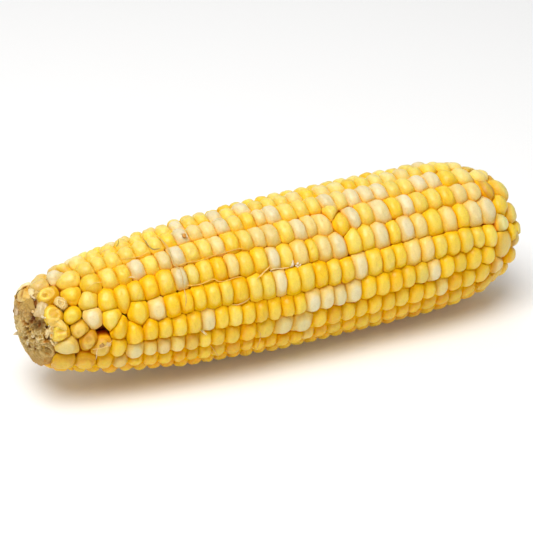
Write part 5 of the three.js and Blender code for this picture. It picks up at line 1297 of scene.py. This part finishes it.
def crumb(x, phi, size, seed, at=None):
    """A crumpled crumb of pith lying on the kernels, at a station and angle or where it is sighted."""
    r = np.random.default_rng(seed)
    if at is None:
        p0, out, _ = ear_point(x, phi, 0.25 * size)
    else:
        w0 = Vector(tuple(sight_line(*at)))
        p0, out, _, _ = SKIN.ray_cast(_EYE, w0)
        p0 = p0 - w0 * (0.34 * size * MM)
    out = np.array(out)
    n, m = 10, 14
    V = [None] * 0
    V.append(np.array([0, 0, 1.0]))
    for i in range(1, n):
        for j in range(m):
            a, b = math.pi * i / n, 2 * math.pi * j / m
            V.append(np.array([math.sin(a) * math.cos(b), math.sin(a) * math.sin(b), math.cos(a)]))
    V.append(np.array([0, 0, -1.0]))
    V = np.array(V)
    ax = np.array([r.uniform(0.7, 1.2), r.uniform(0.5, 0.9), r.uniform(0.35, 0.6)])
    rad = 1 + 0.42 * noise3(V * 1.7 + seed) + 0.22 * noise3(V * 4.1 + seed)
    V = V * rad[:, None] * ax * size / 2
    e1 = np.array([1.0, 0, 0]); e2 = np.cross(out, e1); e1 = np.cross(e2, out)
    th = r.uniform(0, 6.28)
    u = math.cos(th) * e1 + math.sin(th) * e2; v = -math.sin(th) * e1 + math.cos(th) * e2
    W = np.array(p0) + (V[:, :1] * u + V[:, 1:2] * v + V[:, 2:] * out) * MM
    F = [(0, 1 + j, 1 + (j + 1) % m) for j in range(m)]
    for i in range(n - 2):
        for j in range(m):
            a, b = 1 + i * m + j, 1 + i * m + (j + 1) % m
            F.append((a, a + m, b + m, b))
    last = len(V) - 1
    F += [(last, 1 + (n - 2) * m + (j + 1) % m, 1 + (n - 2) * m + j) for j in range(m)]
    return W, F


CRUMBS = [((292.6, 264.6), 1.5, lin(246, 232, 204)), ((293.0, 261.4), 1.1, lin(242, 224, 188)), ((295.0, 263.2), 1.3, lin(240, 218, 176)), ((296.2, 265.6), 1.5, lin(248, 236, 210)), ((298.4, 266.2), 1.4, lin(246, 230, 198)),
          ((297.6, 263.6), 1.0, lin(250, 238, 214)), ((300.0, 265.2), 0.9, lin(242, 222, 184)), ((291.2, 266.4), 1.0, lin(240, 214, 170)), ((288.0, 280.6), 0.8, CH_BUFF), ((184.4, 235.6), 1.5, lin(214, 150, 60)),
          ((187.0, 236.8), 1.0, CH_WHITE), ((182.4, 234.0), 0.9, CH_BUFF), ((45.2, 317.8), 0.8, lin(240, 222, 180)), ((49.0, 326.0), 0.7, lin(240, 222, 180)), ((34.6, 299.6), 0.6, lin(238, 218, 176))]
for n, (at_, sz, c) in enumerate(CRUMBS):
    bits.append((crumb(0, 0, sz, 2300 + n, at_), c))
gather("chaff", bits, M_CHAFF)
gather("silk", threads, M_CHAFF)

# ---------------------------------------------------------------- floor, light, camera
bpy.ops.mesh.primitive_plane_add(size=8, location=(0, 0, 0))
floor = bpy.context.object
floor.name = "floor"
floor.data.materials.append(M_FLOOR)


def area(name, loc, target, size, power, color=(1, 1, 1), size_y=None):
    l = bpy.data.lights.new(name, "AREA")
    l.shape = "RECTANGLE"
    l.size, l.size_y = size, size_y or size
    l.energy = power
    l.color = color
    o = link(bpy.data.objects.new(name, l))
    o.location = loc
    o.rotation_euler = (Vector(target) - Vector(loc)).to_track_quat("-Z", "Y").to_euler()
    return o


area("key", (-0.32, -0.26, 0.98), (0, 0, 0.02), 0.75, 12.0, (1.0, 0.995, 0.985))
area("fill", (0.55, -0.75, 0.45), (0, 0, 0.02), 0.8, 0.4)
area("back", (0.2, 0.8, 0.7), (0, 0, 0.02), 0.7, 1.3)
w = bpy.data.worlds.new("studio")
SC.world = w
w.use_nodes = True
bg = w.node_tree.nodes.get("Background") or w.node_tree.nodes.new("ShaderNodeBackground")
bg.inputs[0].default_value = (1, 1, 1, 1)
bg.inputs[1].default_value = 0.23

AZ, EL, DIST, FPIX = math.radians(-25.87), math.radians(28.0), 0.600, 1860.0
target = Vector((-0.000023 - ORIGIN_X * MM, 0, 0.02748))
back = Vector((math.sin(AZ) * math.cos(EL), -math.cos(AZ) * math.cos(EL), math.sin(EL)))
cam = bpy.data.cameras.new("camera")
cam.sensor_width = 36
cam.lens = 36 * FPIX / 533
cam.clip_start, cam.clip_end = 0.01, 20
camo = link(bpy.data.objects.new("camera", cam))
camo.location = target + back * DIST
camo.rotation_mode = "QUATERNION"
camo.rotation_quaternion = (-back).to_track_quat("-Z", "Y")
SC.camera = camo
SC.view_settings.view_transform = "Standard"
